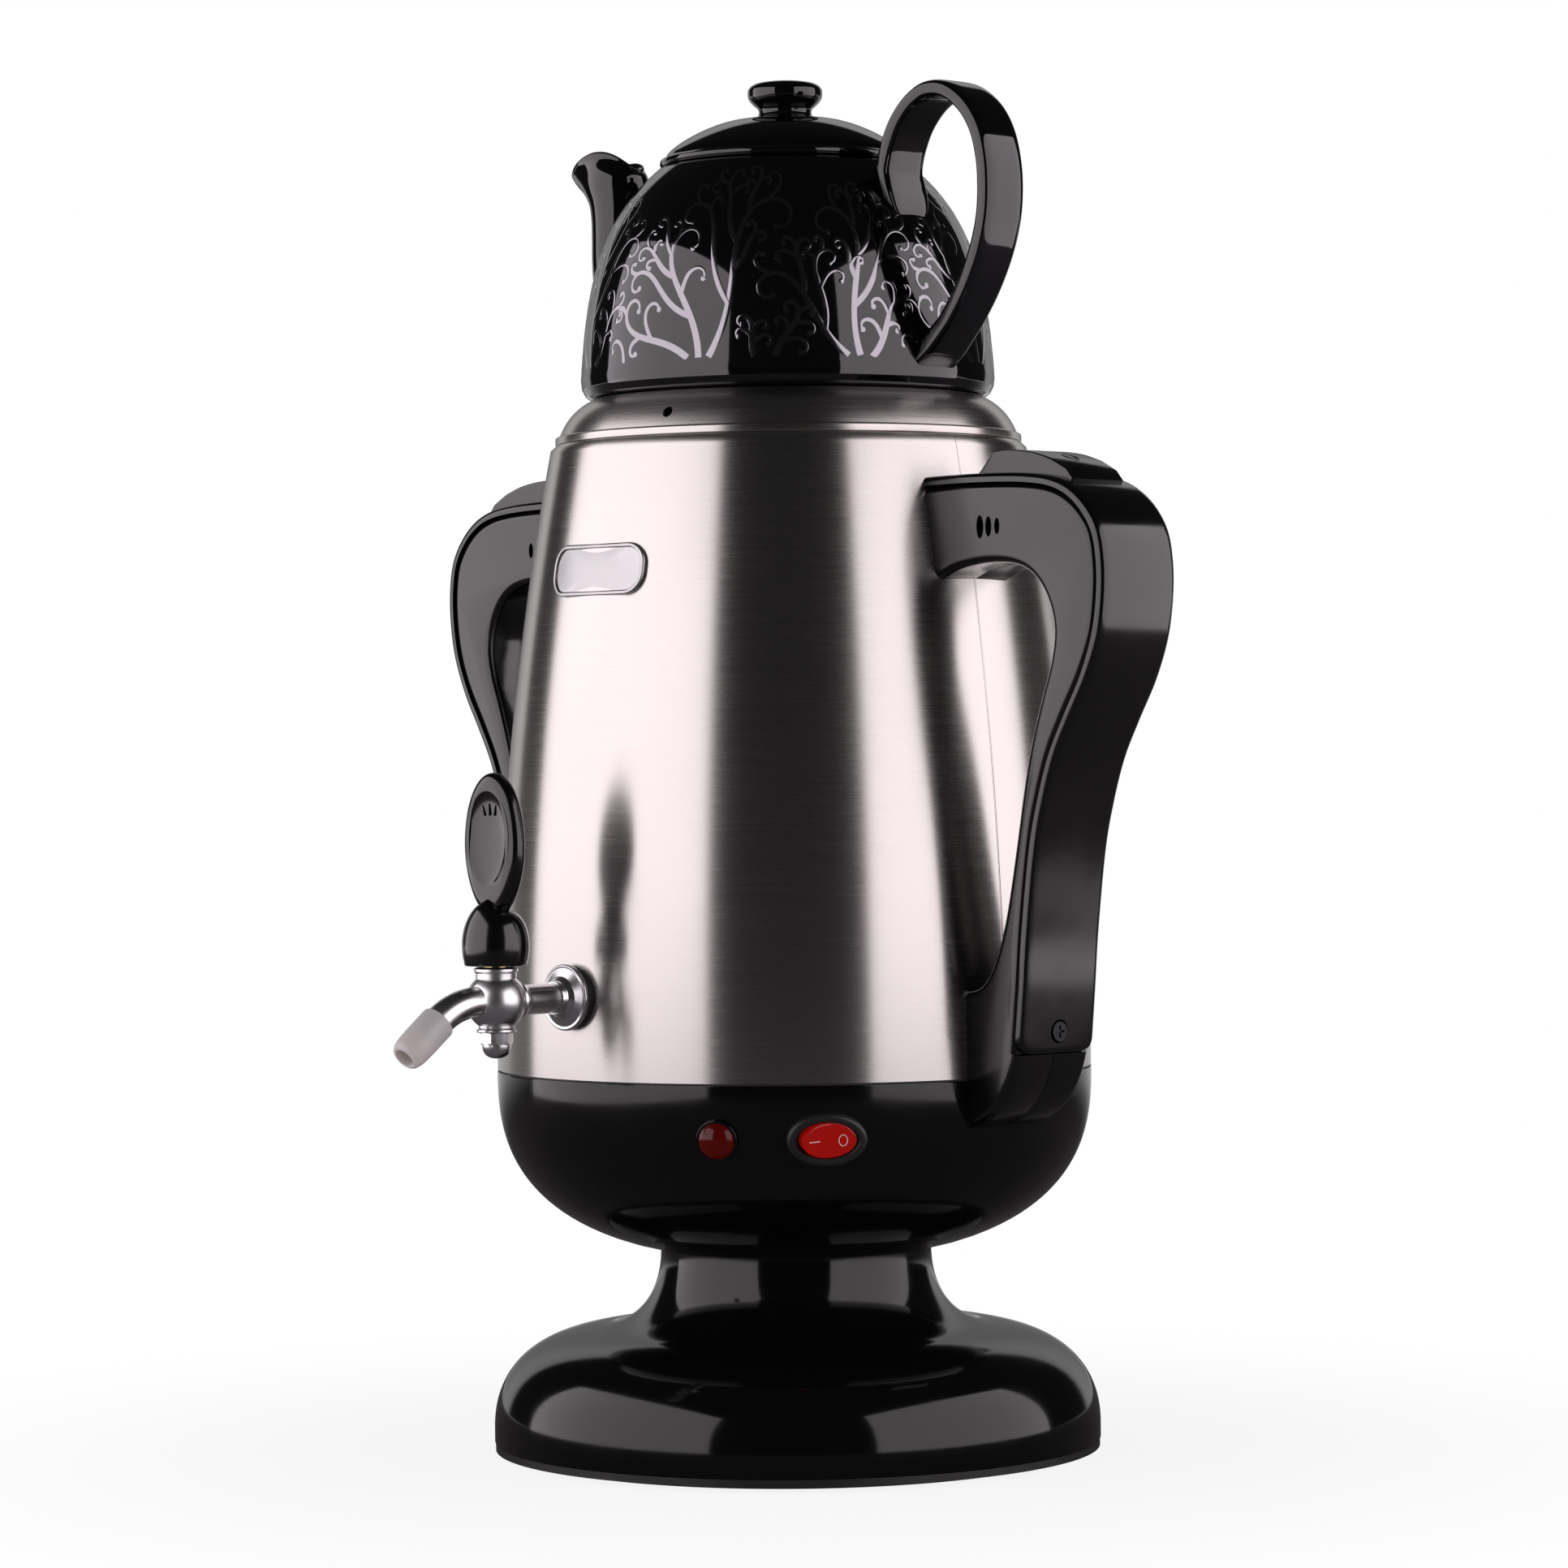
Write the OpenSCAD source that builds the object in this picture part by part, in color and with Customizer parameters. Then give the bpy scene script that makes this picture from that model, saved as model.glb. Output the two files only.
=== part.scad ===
// Electric samovar: a steel water tank on a bowl and foot of black plastic, with
// two big handles, a plug-cock tap, and a porcelain teapot standing on the top ring.
// The origin is on the vertical axis, on the plane that the rubber ring rests on.
// The tap points along -Y, the handles along +X and -X, and the inlet along +Y.

/* [Foot] */
// Radius of the foot at its rim
foot_r = 102.4; // [98:0.1:115]
// Height of the straight band at the rim of the foot
foot_band_h = 8; // [5:0.5:14]
// Height of the foot, from its rim to the bowl
foot_h = 67.5; // [62:0.5:85]
// Height at which the dome of the foot turns up into the neck
foot_waist_h = 40.3; // [35:0.1:46]
// Radius at which the dome of the foot turns up into the neck
foot_waist_r = 69; // [62:0.5:74]
// Radius of the neck
neck_r = 45.7; // [43:0.1:52]
// Wall of the plastic mouldings
plastic_wall = 2.8; // [2:0.1:3.6]
// Thickness of the floors of the bowl and the neck
floor_t = 3; // [2:0.1:5]
// Thickness of the bottom plate
plate_t = 2.5; // [2:0.1:4]
// How far the rubber ring stands below the bottom plate
pad_proud = 1.5; // [1:0.1:3]
// Radius of the middle of the rubber ring
pad_r = 91; // [86:0.5:92]
// Width of the rubber ring
pad_w = 6; // [4:0.5:8]
// Radius of the circle of the bottom screws
base_screw_circle_r = 79; // [72:0.5:80]
// Number of bottom screws
base_screws_n = 4; // [3:1:6]
// Length of the bottom screws
base_screw_l = 14; // [10:1:20]

/* [Bowl] */
// How far the bowl stands out past the foot of the tank
bowl_lip = 0.1; // [0:0.1:2]
// Height of the bowl
bowl_h = 60.5; // [58:0.5:63]
// Depth of the full curve that the bowl is cut from
bowl_depth = 64; // [63.5:0.5:70]
// Roundness of the bowl: 2 is an ellipse, more is squarer
bowl_power = 2.6; // [2.2:0.1:3.2]
// Height of the switch, lamp and inlet below the top of the bowl
control_drop = 17.3; // [15:0.1:20]
// Bearing of the lamp, turned to the right of the tap
lamp_az = 32; // [24:1:36]
// Bearing of the switch, turned to the right of the tap
switch_az = 52.4; // [48:0.1:60]

/* [Tank] */
// Radius of the tank at its bottom
tank_r = 100.2; // [98:0.1:104]
// Radius of the tank below its shoulder
tank_top_r = 80.6; // [79.5:0.1:84]
// Height of the tank
tank_h = 209.4; // [190:0.1:230]
// Height of the rounded shoulder at the mouth
shoulder_h = 3; // [2:0.5:5]
// Outer radius of the tank at its mouth
mouth_r = 78.5; // [77.5:0.1:79]
// Thickness of the tank steel
tank_wall = 0.8; // [0.6:0.1:1.2]
// Thickness of the gasket between bowl and tank
gasket_t = 0.6; // [0.4:0.1:1.5]
// Depth of the tank floor's skirt
floor_skirt_h = 6; // [4:0.5:10]
// Thickness of the tank floor
tank_floor_t = 1; // [0.8:0.1:1.5]
// Radius of the studs under the tank
stud_r = 2; // [1.5:0.1:2.5]
// Radius of the circle of studs
stud_circle_r = 33; // [31:0.5:35]
// Number of studs
studs_n = 3; // [3:1:3]

/* [Heater] */
// Outer radius of the heat plate
heat_plate_r = 76; // [70:0.5:80]
// Inner radius of the heat plate
heat_plate_hole_r = 42; // [39:0.5:46]
// Thickness of the heat plate
heat_plate_t = 4; // [3:0.5:6]
// Radius of the circle that the heating tube follows
element_circle_r = 60; // [56:0.5:64]
// Radius of the heating tube
element_tube_r = 3.3; // [2.8:0.1:4]
// Radius of the two heat sensors
sensor_r = 8; // [6.5:0.1:9]
// Distance of the two heat sensors from the axis
sensor_x = 13; // [12:0.5:15]

/* [Badge] */
// Width of the badge
badge_w = 44; // [30:0.5:56]
// Height of the badge
badge_h = 17; // [12:0.5:24]
// Height of the badge's middle above the foot of the tank
badge_up = 166; // [130:1:180]
// Thickness of the badge at its rim
badge_t = 1.6; // [1:0.1:2.5]
// Width of the badge's raised rim
badge_rim = 1.3; // [0.8:0.1:2.5]

/* [Tap] */
// Height of the tap above the foot of the tank
tap_up = 26.9; // [22:0.1:50]
// Radius of the tap's pipe
pipe_r = 4.9; // [4.2:0.1:5.4]
// Radius of the water way through the tap
waterway_r = 3; // [2:0.1:3.2]
// Distance from the foot of the tank out to the axis of the plug
plug_out = 31.3; // [26:0.1:39]
// Radius of the tap's ball
ball_r = 9.7; // [9.4:0.1:11]
// Radius of the tap's top neck
tap_neck_r = 6.6; // [6:0.1:7.5]
// Height of the tap's neck above the tap axis
tap_neck_up = 11; // [10.5:0.1:14]
// Radius of the plug
plug_r = 4.4; // [3.8:0.05:4.6]
// Running clearance around the plug
plug_gap = 0.05; // [0.02:0.01:0.1]
// Radius of the bend in the spout
spout_bend_r = 26; // [22:0.5:32]
// Angle of the bend in the spout
spout_bend_a = 38; // [30:1:50]
// Wall of the soft nozzle
nozzle_wall = 0.9; // [0.6:0.1:1.4]
// Length of the soft nozzle past the bend
nozzle_l = 18; // [12:0.5:24]
// Radius of the rosette
rosette_r = 10.8; // [9:0.1:13]
// Depth of the rosette
rosette_h = 6.5; // [5:0.1:8]
// Radius of the lever's hub
hub_r = 10.2; // [9:0.1:12]
// Height of the lever's hub
hub_h = 19; // [16:0.5:22]
// Width of the lever's paddle
paddle_w = 23.5; // [19:0.5:28]
// Height of the lever's paddle
paddle_h = 46; // [38:0.5:54]
// Thickness of the lever's paddle
paddle_t = 6; // [4:0.5:9]

/* [Switch and lamp] */
// Width of the switch bezel
bezel_w = 26; // [25:0.1:28]
// Height of the switch bezel
bezel_h = 17.6; // [17:0.1:20]
// Width of the rocker
rocker_w = 18; // [15:0.1:18.2]
// Height of the rocker
rocker_h = 11.6; // [9:0.1:11.8]
// Tilt of the rocker to each side
rocker_tilt = 10; // [6:1:11]
// Radius of the lamp lens
lens_r = 5.9; // [5.4:0.1:7]
// Width of the black ring around the lamp lens
lamp_ring_w = 0.9; // [0.6:0.1:2]

/* [Power inlet] */
// Width of the inlet's flange
inlet_w = 48; // [46:0.5:50]
// Height of the inlet's flange
inlet_h = 24; // [23:0.5:26]
// Distance between the inlet's two screws
inlet_pitch = 40; // [37:0.5:41]

/* [Handles] */
// Width of the handles
handle_w = 34; // [30:0.5:38]
// Thickness of the handle cover
cover_t = 3; // [2.4:0.1:4]
// Wall of the handle halves
handle_wall = 2.4; // [1.8:0.1:2.8]
// Rounding along the handle's side edges
handle_round = 3; // [1.5:0.1:3.5]
// Width of the cap on the handle
cap_w = 24; // [16:0.5:27]
// Height of the lower handle screw above the foot of the tank
low_screw_up = 15.4; // [13:0.1:18]
// Radius of the recess of the lower handle screw
low_recess_r = 4.3; // [3.8:0.1:5.5]
// Reach of the handles past the foot of the tank
handle_out = 60.2; // [55:0.1:66]
// Height of the handles above the foot of the tank
handle_up = 194.9; // [185:0.1:205]
// Distance of the upper handle screw past the foot of the tank
top_screw_out = 17.8; // [13:0.1:23]

/* [Ring] */
// Height of the teapot ring
ring_h = 15.5; // [14:0.1:19]
// Radius of the ring's bead
bead_r = 78.7; // [78.4:0.1:80]
// Outer radius of the ring at its top
ring_top_r = 66.5; // [65.5:0.1:69]
// Radius of the opening in the ring
ring_hole_r = 55; // [48:0.5:58]
// Thickness of the ring's steel
ring_t = 1; // [0.8:0.1:1.4]
// Depth of the ring's skirt inside the tank
ring_skirt_h = 9; // [5:0.5:16]
// Radius of the steam hole
steam_r = 1.75; // [1:0.05:2.5]
// Bearing of the steam hole, turned to the right of the tap
steam_az = 15; // [-20:1:40]

/* [Teapot] */
// Greatest radius of the teapot
pot_r = 69.9; // [68:0.1:74]
// Height of the teapot without its lid
pot_h = 78.5; // [74:0.1:84]
// Radius of the teapot at its mouth
pot_mouth_r = 42; // [41:0.1:44]
// Wall of the porcelain
pot_wall = 3.5; // [3:0.1:4.2]
// Radius of the opening of the teapot
pot_hole_r = 36; // [33:0.1:37]
// Turn of the teapot on its ring
pot_turn = 1.5; // [-30:0.5:30]
// Width of the teapot's handle
pot_handle_w = 18; // [13:0.1:21]
// Thickness of the teapot's handle
pot_handle_t = 5.8; // [4.5:0.1:7.5]
// Radius of the lid
lid_r = 42.6; // [41.5:0.1:44]
// Height of the lid's dome above the teapot
lid_dome_h = 15.6; // [12:0.1:20]
// Radius of the knob
knob_r = 12.6; // [10:0.1:16]
// Height of the knob
knob_h = 15; // [12:0.1:20]
// Play of the lid in the mouth of the teapot
lid_play = 0.6; // [0.4:0.1:1.2]

/* [Hidden] */
$fn = 96;

// Heights of the stack, from the resting plane up
z_rim = pad_proud;
z_plate_top = z_rim + plate_t;
z_foot_top = z_rim + foot_h;
z_bowl_top = z_foot_top + bowl_h;
z_tank = z_bowl_top + gasket_t;
z_mouth = z_tank + tank_h;
z_seat = z_mouth + ring_h;
z_pot_top = z_seat + pot_h;
z_floor = z_tank + floor_skirt_h;
z_control = z_bowl_top - control_drop;
z_tap = z_tank + tap_up;
z_low_screw = z_tank + low_screw_up;

// Radii that follow from the foot of the tank
bowl_r = tank_r + bowl_lip;
plug_x = tank_r + plug_out;

// Small clearances
touch_gap = 0.05;
screw_gap = 0.1;
slack = 0.3;
eps = 0.01;
far = 400;

// Smooth curves: a Bezier arc, and a spline through chosen points
function bezier(p, n = 8) = [for (i = [0:n]) let (t = i / n, s = 1 - t)
    s * s * s * p[0] + 3 * s * s * t * p[1] + 3 * s * t * t * p[2] + t * t * t * p[3]];
function knot(p, i) = p[max(0, min(len(p) - 1, i))];
function blend(a, b, c, d, t) = 0.5 * (2 * b + (c - a) * t
    + (2 * a - 5 * b + 4 * c - d) * t * t + (3 * b - a - 3 * c + d) * t * t * t);
function spline(p, n = 4) = concat([for (i = [0:len(p) - 2], k = [0:n - 1])
    blend(knot(p, i - 1), p[i], p[i + 1], knot(p, i + 2), k / n)], [p[len(p) - 1]]);
function flip(p) = [for (i = [len(p) - 1:-1:0]) p[i]];
function unit(v) = v / norm(v);
function along(p, i) = unit(knot(p, i + 1) - knot(p, i - 1));
// Moves each point of a curve d to the right of its way
function inset(p, d) = [for (i = [0:len(p) - 1]) let (t = along(p, i))
    p[i] + d * [t[1], -t[0]]];
function oval(w, h, n = 40) = [for (i = [0:n - 1]) [w / 2 * cos(360 * i / n),
    h / 2 * sin(360 * i / n)]];

// Closes a stack of rings of points, each counted anticlockwise seen from the last
module loft(rings) {
    n = len(rings[0]);
    m = len(rings);
    sides = [for (j = [0:m - 2], i = [0:n - 1]) let (a = j * n + i, b = j * n + (i + 1) % n,
        c = b + n, d = a + n) each [[a, d, c], [a, c, b]]];
    caps = [[for (i = [0:n - 1]) i], [for (i = [n - 1:-1:0]) (m - 1) * n + i]];
    polyhedron([for (r = rings) each r], concat(sides, caps), convexity = 6);
}
// Bar with the section between two lines, given as layers of [line, other line, height]
function two_line_points(layers) = [for (l = layers) each
    [for (p = concat(l[0], l[1])) [p[0], p[1], l[2]]]];
module line_loft(layers) {
    n = len(layers[0][0]);
    m = len(layers);
    ring = concat([for (i = [0:n - 1]) i], [for (i = [n - 1:-1:0]) n + i]);
    sides = [for (j = [0:m - 2], i = [0:2 * n - 1]) let (a = ring[i], b = ring[(i + 1) % (2 * n)],
        u = 2 * n * j, v = 2 * n * (j + 1)) each [[u + a, u + b, v + b], [u + a, v + b, v + a]]];
    top = 2 * n * (m - 1);
    caps = [for (i = [0:n - 2]) each [[i, n + i + 1, i + 1], [i, n + i, n + i + 1],
        [top + i, top + i + 1, top + n + i + 1], [top + i, top + n + i + 1, top + n + i]]];
    polyhedron(two_line_points(layers), concat(sides, caps), convexity = 8);
}
// Rounded slot standing on XY, its long side along X
module slot_shape(w, h) {
    for (side = [-1, 1]) translate([side * (w - h) / 2, 0]) circle(d = h);
    square([w - h, h], center = true);
}
module rounded_rect(w, h, r) {
    for (x = [-1, 1], y = [-1, 1]) translate([x * (w / 2 - r), y * (h / 2 - r)]) circle(r);
    square([w - 2 * r, h], center = true);
    square([w, h - 2 * r], center = true);
}
// Puts children, drawn with -Y outwards, at a bearing right of the tap
module bearing(az) { rotate([0, 0, az]) children(); }
// Rod along -Y from distance a to distance b
module rod(r, a, b) { translate([0, -a, 0]) rotate([90, 0, 0]) cylinder(h = b - a, r = r); }
// Prism along -Y from distance a to distance b, of a shape drawn in X and Z
module bar(a, b) { translate([0, -a, 0]) rotate([90, 0, 0]) linear_extrude(b - a) children(); }

// ---- Foot ----
function foot_side(w) = let (band = z_rim + foot_band_h, waist = z_rim + foot_waist_h - w,
    rise = waist - band, run = foot_r - foot_waist_r, r = foot_r - w, n = neck_r - w)
    concat([[r, z_plate_top - eps]],
        bezier([[r, band], [r, band + 0.61 * rise],
            [foot_waist_r + 0.57 * run - w / 2, waist - 0.05 * rise], [foot_waist_r, waist]]),
        bezier([[foot_waist_r - eps, waist], [neck_r + 0.4 * (foot_waist_r - neck_r), waist + 0.7],
            [n, waist + 10], [n, waist + 27 + w]]));
module foot_solid(w, top) {
    side = [for (p = foot_side(w)) if (p[1] < top - eps) p];
    rotate_extrude() polygon(concat([[0, z_plate_top - (w > 0 ? 1 : 0)]],
        [[side[0][0], z_plate_top - (w > 0 ? 1 : 0)]], side, [[neck_r - w, top], [0, top]]));
}
module at_base_screws() {
    for (i = [0:base_screws_n - 1]) rotate([0, 0, (i + 0.5) * 360 / base_screws_n])
        translate([base_screw_circle_r, 0, 0]) children();
}
module at_studs() {
    for (i = [0:studs_n - 1]) rotate([0, 0, i * 360 / studs_n - 90])
        translate([stud_circle_r, 0, 0]) children();
}
base_screw_r = 1.7;
base_head_r = 3.4;
base_head_h = 1.7;
boss_wall = 2.8;
cable_hole_r = 12;
module foot_shell() color([0.02, 0.02, 0.022]) difference() {
    union() {
        difference() {
            foot_solid(0, z_foot_top);
            foot_solid(plastic_wall, z_foot_top - floor_t);
        }
        intersection() {
            at_base_screws() translate([0, 0, z_plate_top])
                cylinder(h = foot_waist_h, r = base_screw_r + boss_wall);
            foot_solid(1, z_foot_top - 1);
        }
    }
    at_base_screws() translate([0, 0, z_plate_top - 1])
        cylinder(h = base_screw_l, r = base_screw_r + screw_gap);
    at_studs() translate([0, 0, z_foot_top - 2 * floor_t])
        cylinder(h = 3 * floor_t, r = stud_r + slack);
    translate([0, 0, z_foot_top - 2 * floor_t]) cylinder(h = 3 * floor_t, r = cable_hole_r);
}
plate_r = foot_r - slack;
lip_r = foot_r - plastic_wall - slack;
lip_h = 2;
lip_w = 2;
pad_seat = 1.2;
module base_plate() color([0.03, 0.03, 0.03]) difference() {
    union() {
        translate([0, 0, z_rim]) cylinder(h = plate_t, r = plate_r);
        translate([0, 0, z_plate_top - eps]) difference() {
            cylinder(h = lip_h, r = lip_r);
            translate([0, 0, -1]) cylinder(h = lip_h + 2, r = lip_r - lip_w);
        }
    }
    translate([0, 0, z_rim - 1]) difference() {
        cylinder(h = pad_seat + 1, r = pad_r + pad_w / 2);
        translate([0, 0, -1]) cylinder(h = pad_seat + 3, r = pad_r - pad_w / 2);
    }
    at_base_screws() screw_countersink();
}
module screw_countersink() translate([0, 0, z_rim]) rotate_extrude() polygon([[0, -1],
    [base_head_r + screw_gap, -1], [base_head_r + screw_gap, 0],
    [base_screw_r + screw_gap, base_head_h], [base_screw_r + screw_gap, plate_t + 1], [0, plate_t + 1]]);
module anti_slip_ring() color([0.08, 0.08, 0.08]) difference() {
    cylinder(h = z_rim + pad_seat, r = pad_r + pad_w / 2);
    translate([0, 0, -1]) cylinder(h = z_rim + pad_seat + 2, r = pad_r - pad_w / 2);
}
module base_screws() color([0.6, 0.6, 0.62]) at_base_screws() difference() {
    translate([0, 0, z_rim]) rotate_extrude() polygon([[0, 0], [base_head_r, 0],
        [base_screw_r, base_head_h], [base_screw_r, base_screw_l - 2], [0.4, base_screw_l],
        [0, base_screw_l]]);
    for (a = [0, 90]) rotate([0, 0, a]) translate([-2, -0.4, z_rim - 1]) cube([4, 0.8, 1.9]);
}

// ---- Bowl ----
function bowl_r_at(z, w = 0) = let (u = min(1, (z_bowl_top - z) / (bowl_depth - w)))
    (bowl_r - w) * pow(1 - pow(max(0, u), bowl_power), 1 / bowl_power);
function bowl_tilt(z) = atan((bowl_r_at(z + 0.5) - bowl_r_at(z - 0.5)));
bowl_steps = 14;
module bowl_solid(w, low, high) {
    side = [for (i = [0:bowl_steps]) let (z = low + (z_bowl_top - low) * sin(90 * i / bowl_steps))
        [bowl_r_at(z, w), z]];
    rotate_extrude() polygon(concat([[0, low]], side, [[bowl_r - w, high], [0, high]]));
}
// Frame on the bowl at a bearing: -Y is straight out of the surface
module on_bowl(az) {
    bearing(az) translate([0, -bowl_r_at(z_control), z_control])
        rotate([bowl_tilt(z_control), 0, 0]) children();
}
// Takes the bowl away from children that are drawn in the on_bowl frame
module off_bowl() {
    difference() {
        children();
        rotate([-bowl_tilt(z_control), 0, 0]) translate([0, bowl_r_at(z_control), -z_control])
            bowl_solid(0, z_foot_top, z_bowl_top + eps);
    }
}
lamp_hole_r = 5.1;
lamp_barrel_r = 5;
switch_body_w = 22.4;
switch_body_h = 14.6;
plinth_w = inlet_w + 4;
plinth_h = inlet_h + 4;
plinth_y = bowl_r + 1.5;
inlet_body_w = 28;
inlet_body_h = 20;
module bowl_shell() color([0.02, 0.02, 0.022]) difference() {
    union() {
        bowl_solid(0, z_foot_top, z_bowl_top);
        bearing(180) translate([0, 0, z_control]) bar(bowl_r / 2, plinth_y)
            rounded_rect(plinth_w, plinth_h, 4);
    }
    bowl_solid(plastic_wall, z_foot_top + floor_t, z_bowl_top + 1);
    at_studs() translate([0, 0, z_foot_top - 1]) cylinder(h = floor_t + 2, r = stud_r + slack);
    translate([0, 0, z_foot_top - 1]) cylinder(h = floor_t + 2, r = cable_hole_r);
    on_bowl(lamp_az) rod(lamp_hole_r, -12, 8);
    on_bowl(switch_az) bar(-14, 8) square([switch_body_w + slack, switch_body_h + slack], center = true);
    bearing(180) translate([0, 0, z_control]) {
        bar(bowl_r / 2, plinth_y + 1) square([inlet_body_w + slack, inlet_body_h + slack], center = true);
        for (x = [-1, 1]) translate([x * inlet_pitch / 2, 0, 0])
            rod(inlet_screw_r + screw_gap, plinth_y - inlet_screw_l, plinth_y + 1);
    }
}
module shell_gasket() color([0.1, 0.1, 0.1]) translate([0, 0, z_bowl_top]) difference() {
    cylinder(h = gasket_t, r = tank_r - slack);
    translate([0, 0, -1]) cylinder(h = gasket_t + 2, r = bowl_r - plastic_wall);
}

// ---- Tank ----
arc_h = tank_h - shoulder_h;
tank_steps = 12;
function tank_r_at(z) = tank_r - (tank_r - tank_top_r) * pow((z - z_tank) / arc_h, 2);
function tank_side(g) = concat(
    [for (i = [0:tank_steps]) let (z = z_tank + arc_h * i / tank_steps) [tank_r_at(z) + g, z]],
    [[tank_top_r - 0.25 * (tank_top_r - mouth_r) + g, z_tank + arc_h + 0.6 * shoulder_h],
        [mouth_r + g, z_mouth]]);
module tank_solid(g) {
    rotate_extrude($fn = 288) polygon(concat([[0, z_tank]], tank_side(g), [[0, z_mouth]]));
}
module tank_shell() color([0.72, 0.71, 0.7]) difference() {
    rotate_extrude() polygon(concat(tank_side(0), flip(tank_side(-tank_wall))));
    translate([0, 0, z_tap]) rod(pipe_r + slack, tank_top_r / 2, tank_r + 5);
}
floor_r = tank_r_at(z_floor) - tank_wall - touch_gap;
module tank_floor() color([0.66, 0.66, 0.65]) difference() {
    translate([0, 0, z_tank]) cylinder(h = floor_skirt_h + tank_floor_t, r = floor_r);
    translate([0, 0, z_tank - 1]) cylinder(h = floor_skirt_h + 1, r = floor_r - tank_floor_t);
}
washer_t = 0.8;
nut_h = 3.2;
stud_tail = 1.5;
module tank_studs() color([0.65, 0.65, 0.66]) at_studs()
    translate([0, 0, z_foot_top - floor_t - washer_t - nut_h - stud_tail])
        cylinder(h = z_floor - z_foot_top + floor_t + washer_t + nut_h + stud_tail, r = stud_r);
module stud_nuts() color([0.6, 0.6, 0.62]) at_studs() {
    difference() {
        union() {
            translate([0, 0, z_foot_top - floor_t - washer_t]) cylinder(h = washer_t, r = 2.3 * stud_r);
            translate([0, 0, z_foot_top - floor_t - washer_t - nut_h])
                cylinder(h = nut_h + eps, r = 2 * stud_r, $fn = 6);
        }
        translate([0, 0, z_foot_top - floor_t - washer_t - nut_h - 1])
            cylinder(h = nut_h + washer_t + 2, r = stud_r + touch_gap);
    }
}

// ---- Heater under the tank floor ----
element_gap_a = 36;
element_leg = 14;
element_pin = 8;
element_pin_r = 1.5;
element_elbow = 0.4;
element_seat = 1.2;
z_element = z_floor - heat_plate_t - element_tube_r + element_seat;
// Heating tube grown by g, with an elbow at each end
module element_tube(g) translate([0, 0, z_element]) {
    rotate([0, 0, 90 + element_gap_a / 2]) rotate_extrude(angle = 360 - element_gap_a)
        translate([element_circle_r, 0]) circle(element_tube_r + g, $fn = 36);
    for (side = [-1, 1]) rotate([0, 0, 90 + side * element_gap_a / 2]) translate([element_circle_r, 0, 0])
        sphere(element_tube_r + element_elbow + g, $fn = 36);
}
module heat_plate() color([0.75, 0.76, 0.78]) difference() {
    translate([0, 0, z_floor - heat_plate_t]) cylinder(h = heat_plate_t, r = heat_plate_r);
    translate([0, 0, z_floor - heat_plate_t - 1]) cylinder(h = heat_plate_t + 2, r = heat_plate_hole_r);
    element_tube(touch_gap);
}
module heating_element() color([0.35, 0.33, 0.32]) {
    element_tube(0);
    for (side = [-1, 1]) rotate([0, 0, 90 + side * element_gap_a / 2])
        translate([element_circle_r, 0, z_element]) {
        translate([0, 0, -element_leg]) cylinder(h = element_leg, r = element_tube_r);
        translate([0, 0, -element_leg - element_pin]) cylinder(h = element_pin + 1, r = element_pin_r);
    }
}
sensor_h = 9;
sensor_flange_r = sensor_r + 3;
sensor_flange_t = 1.2;
strip_t = 1.2;
sensor_flange_drop = 5;
module sensor(x) translate([x, 0, z_floor - sensor_h]) {
    cylinder(h = sensor_h, r = sensor_r);
    translate([0, 0, sensor_h - sensor_flange_drop]) cylinder(h = sensor_flange_t, r = sensor_flange_r);
    for (y = [-1, 1]) translate([-3.15, y * 4 - 0.4, -8]) cube([6.3, 0.8, 8 + eps]);
}
module thermostat() color([0.16, 0.14, 0.13]) sensor(-sensor_x);
module thermal_cutout() color([0.75, 0.72, 0.65]) sensor(sensor_x);
strip_x = sensor_x + sensor_flange_r + 4;
strip_w = 2 * sensor_flange_r;
module sensor_bracket() color([0.7, 0.7, 0.7]) translate([0, 0, z_floor - sensor_flange_drop]) difference() {
    union() {
        translate([-strip_x, -strip_w / 2, -strip_t]) cube([2 * strip_x, strip_w, strip_t]);
        for (side = [-1, 1]) translate([side * (strip_x - strip_t / 2) - strip_t / 2, -strip_w / 2, -strip_t])
            cube([strip_t, strip_w, sensor_flange_drop + strip_t]);
    }
    for (side = [-1, 1]) translate([side * sensor_x, 0, -strip_t - 1])
        cylinder(h = strip_t + 2, r = sensor_r + touch_gap);
}

// ---- Power inlet at the back of the bowl ----
inlet_flange_t = 2.5;
inlet_screw_r = 1.6;
inlet_screw_l = 9;
inlet_cavity_w = 24.2;
inlet_cavity_h = 16.4;
inlet_cavity_depth = 16;
inlet_depth = 20;
inlet_pin_recess = 5;
pin_w = 2;
pin_h = 4;
pin_pitch = 7;
inlet_face = plinth_y + inlet_flange_t;
// Outline of the plug cavity: a rectangle with its two upper corners cut
function cavity_shape(w, h, c) = [[-w / 2, -h / 2], [w / 2, -h / 2], [w / 2, h / 2 - c],
    [w / 2 - c, h / 2], [c - w / 2, h / 2], [-w / 2, h / 2 - c]];
module at_inlet() { bearing(180) translate([0, 0, z_control]) children(); }
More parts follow.
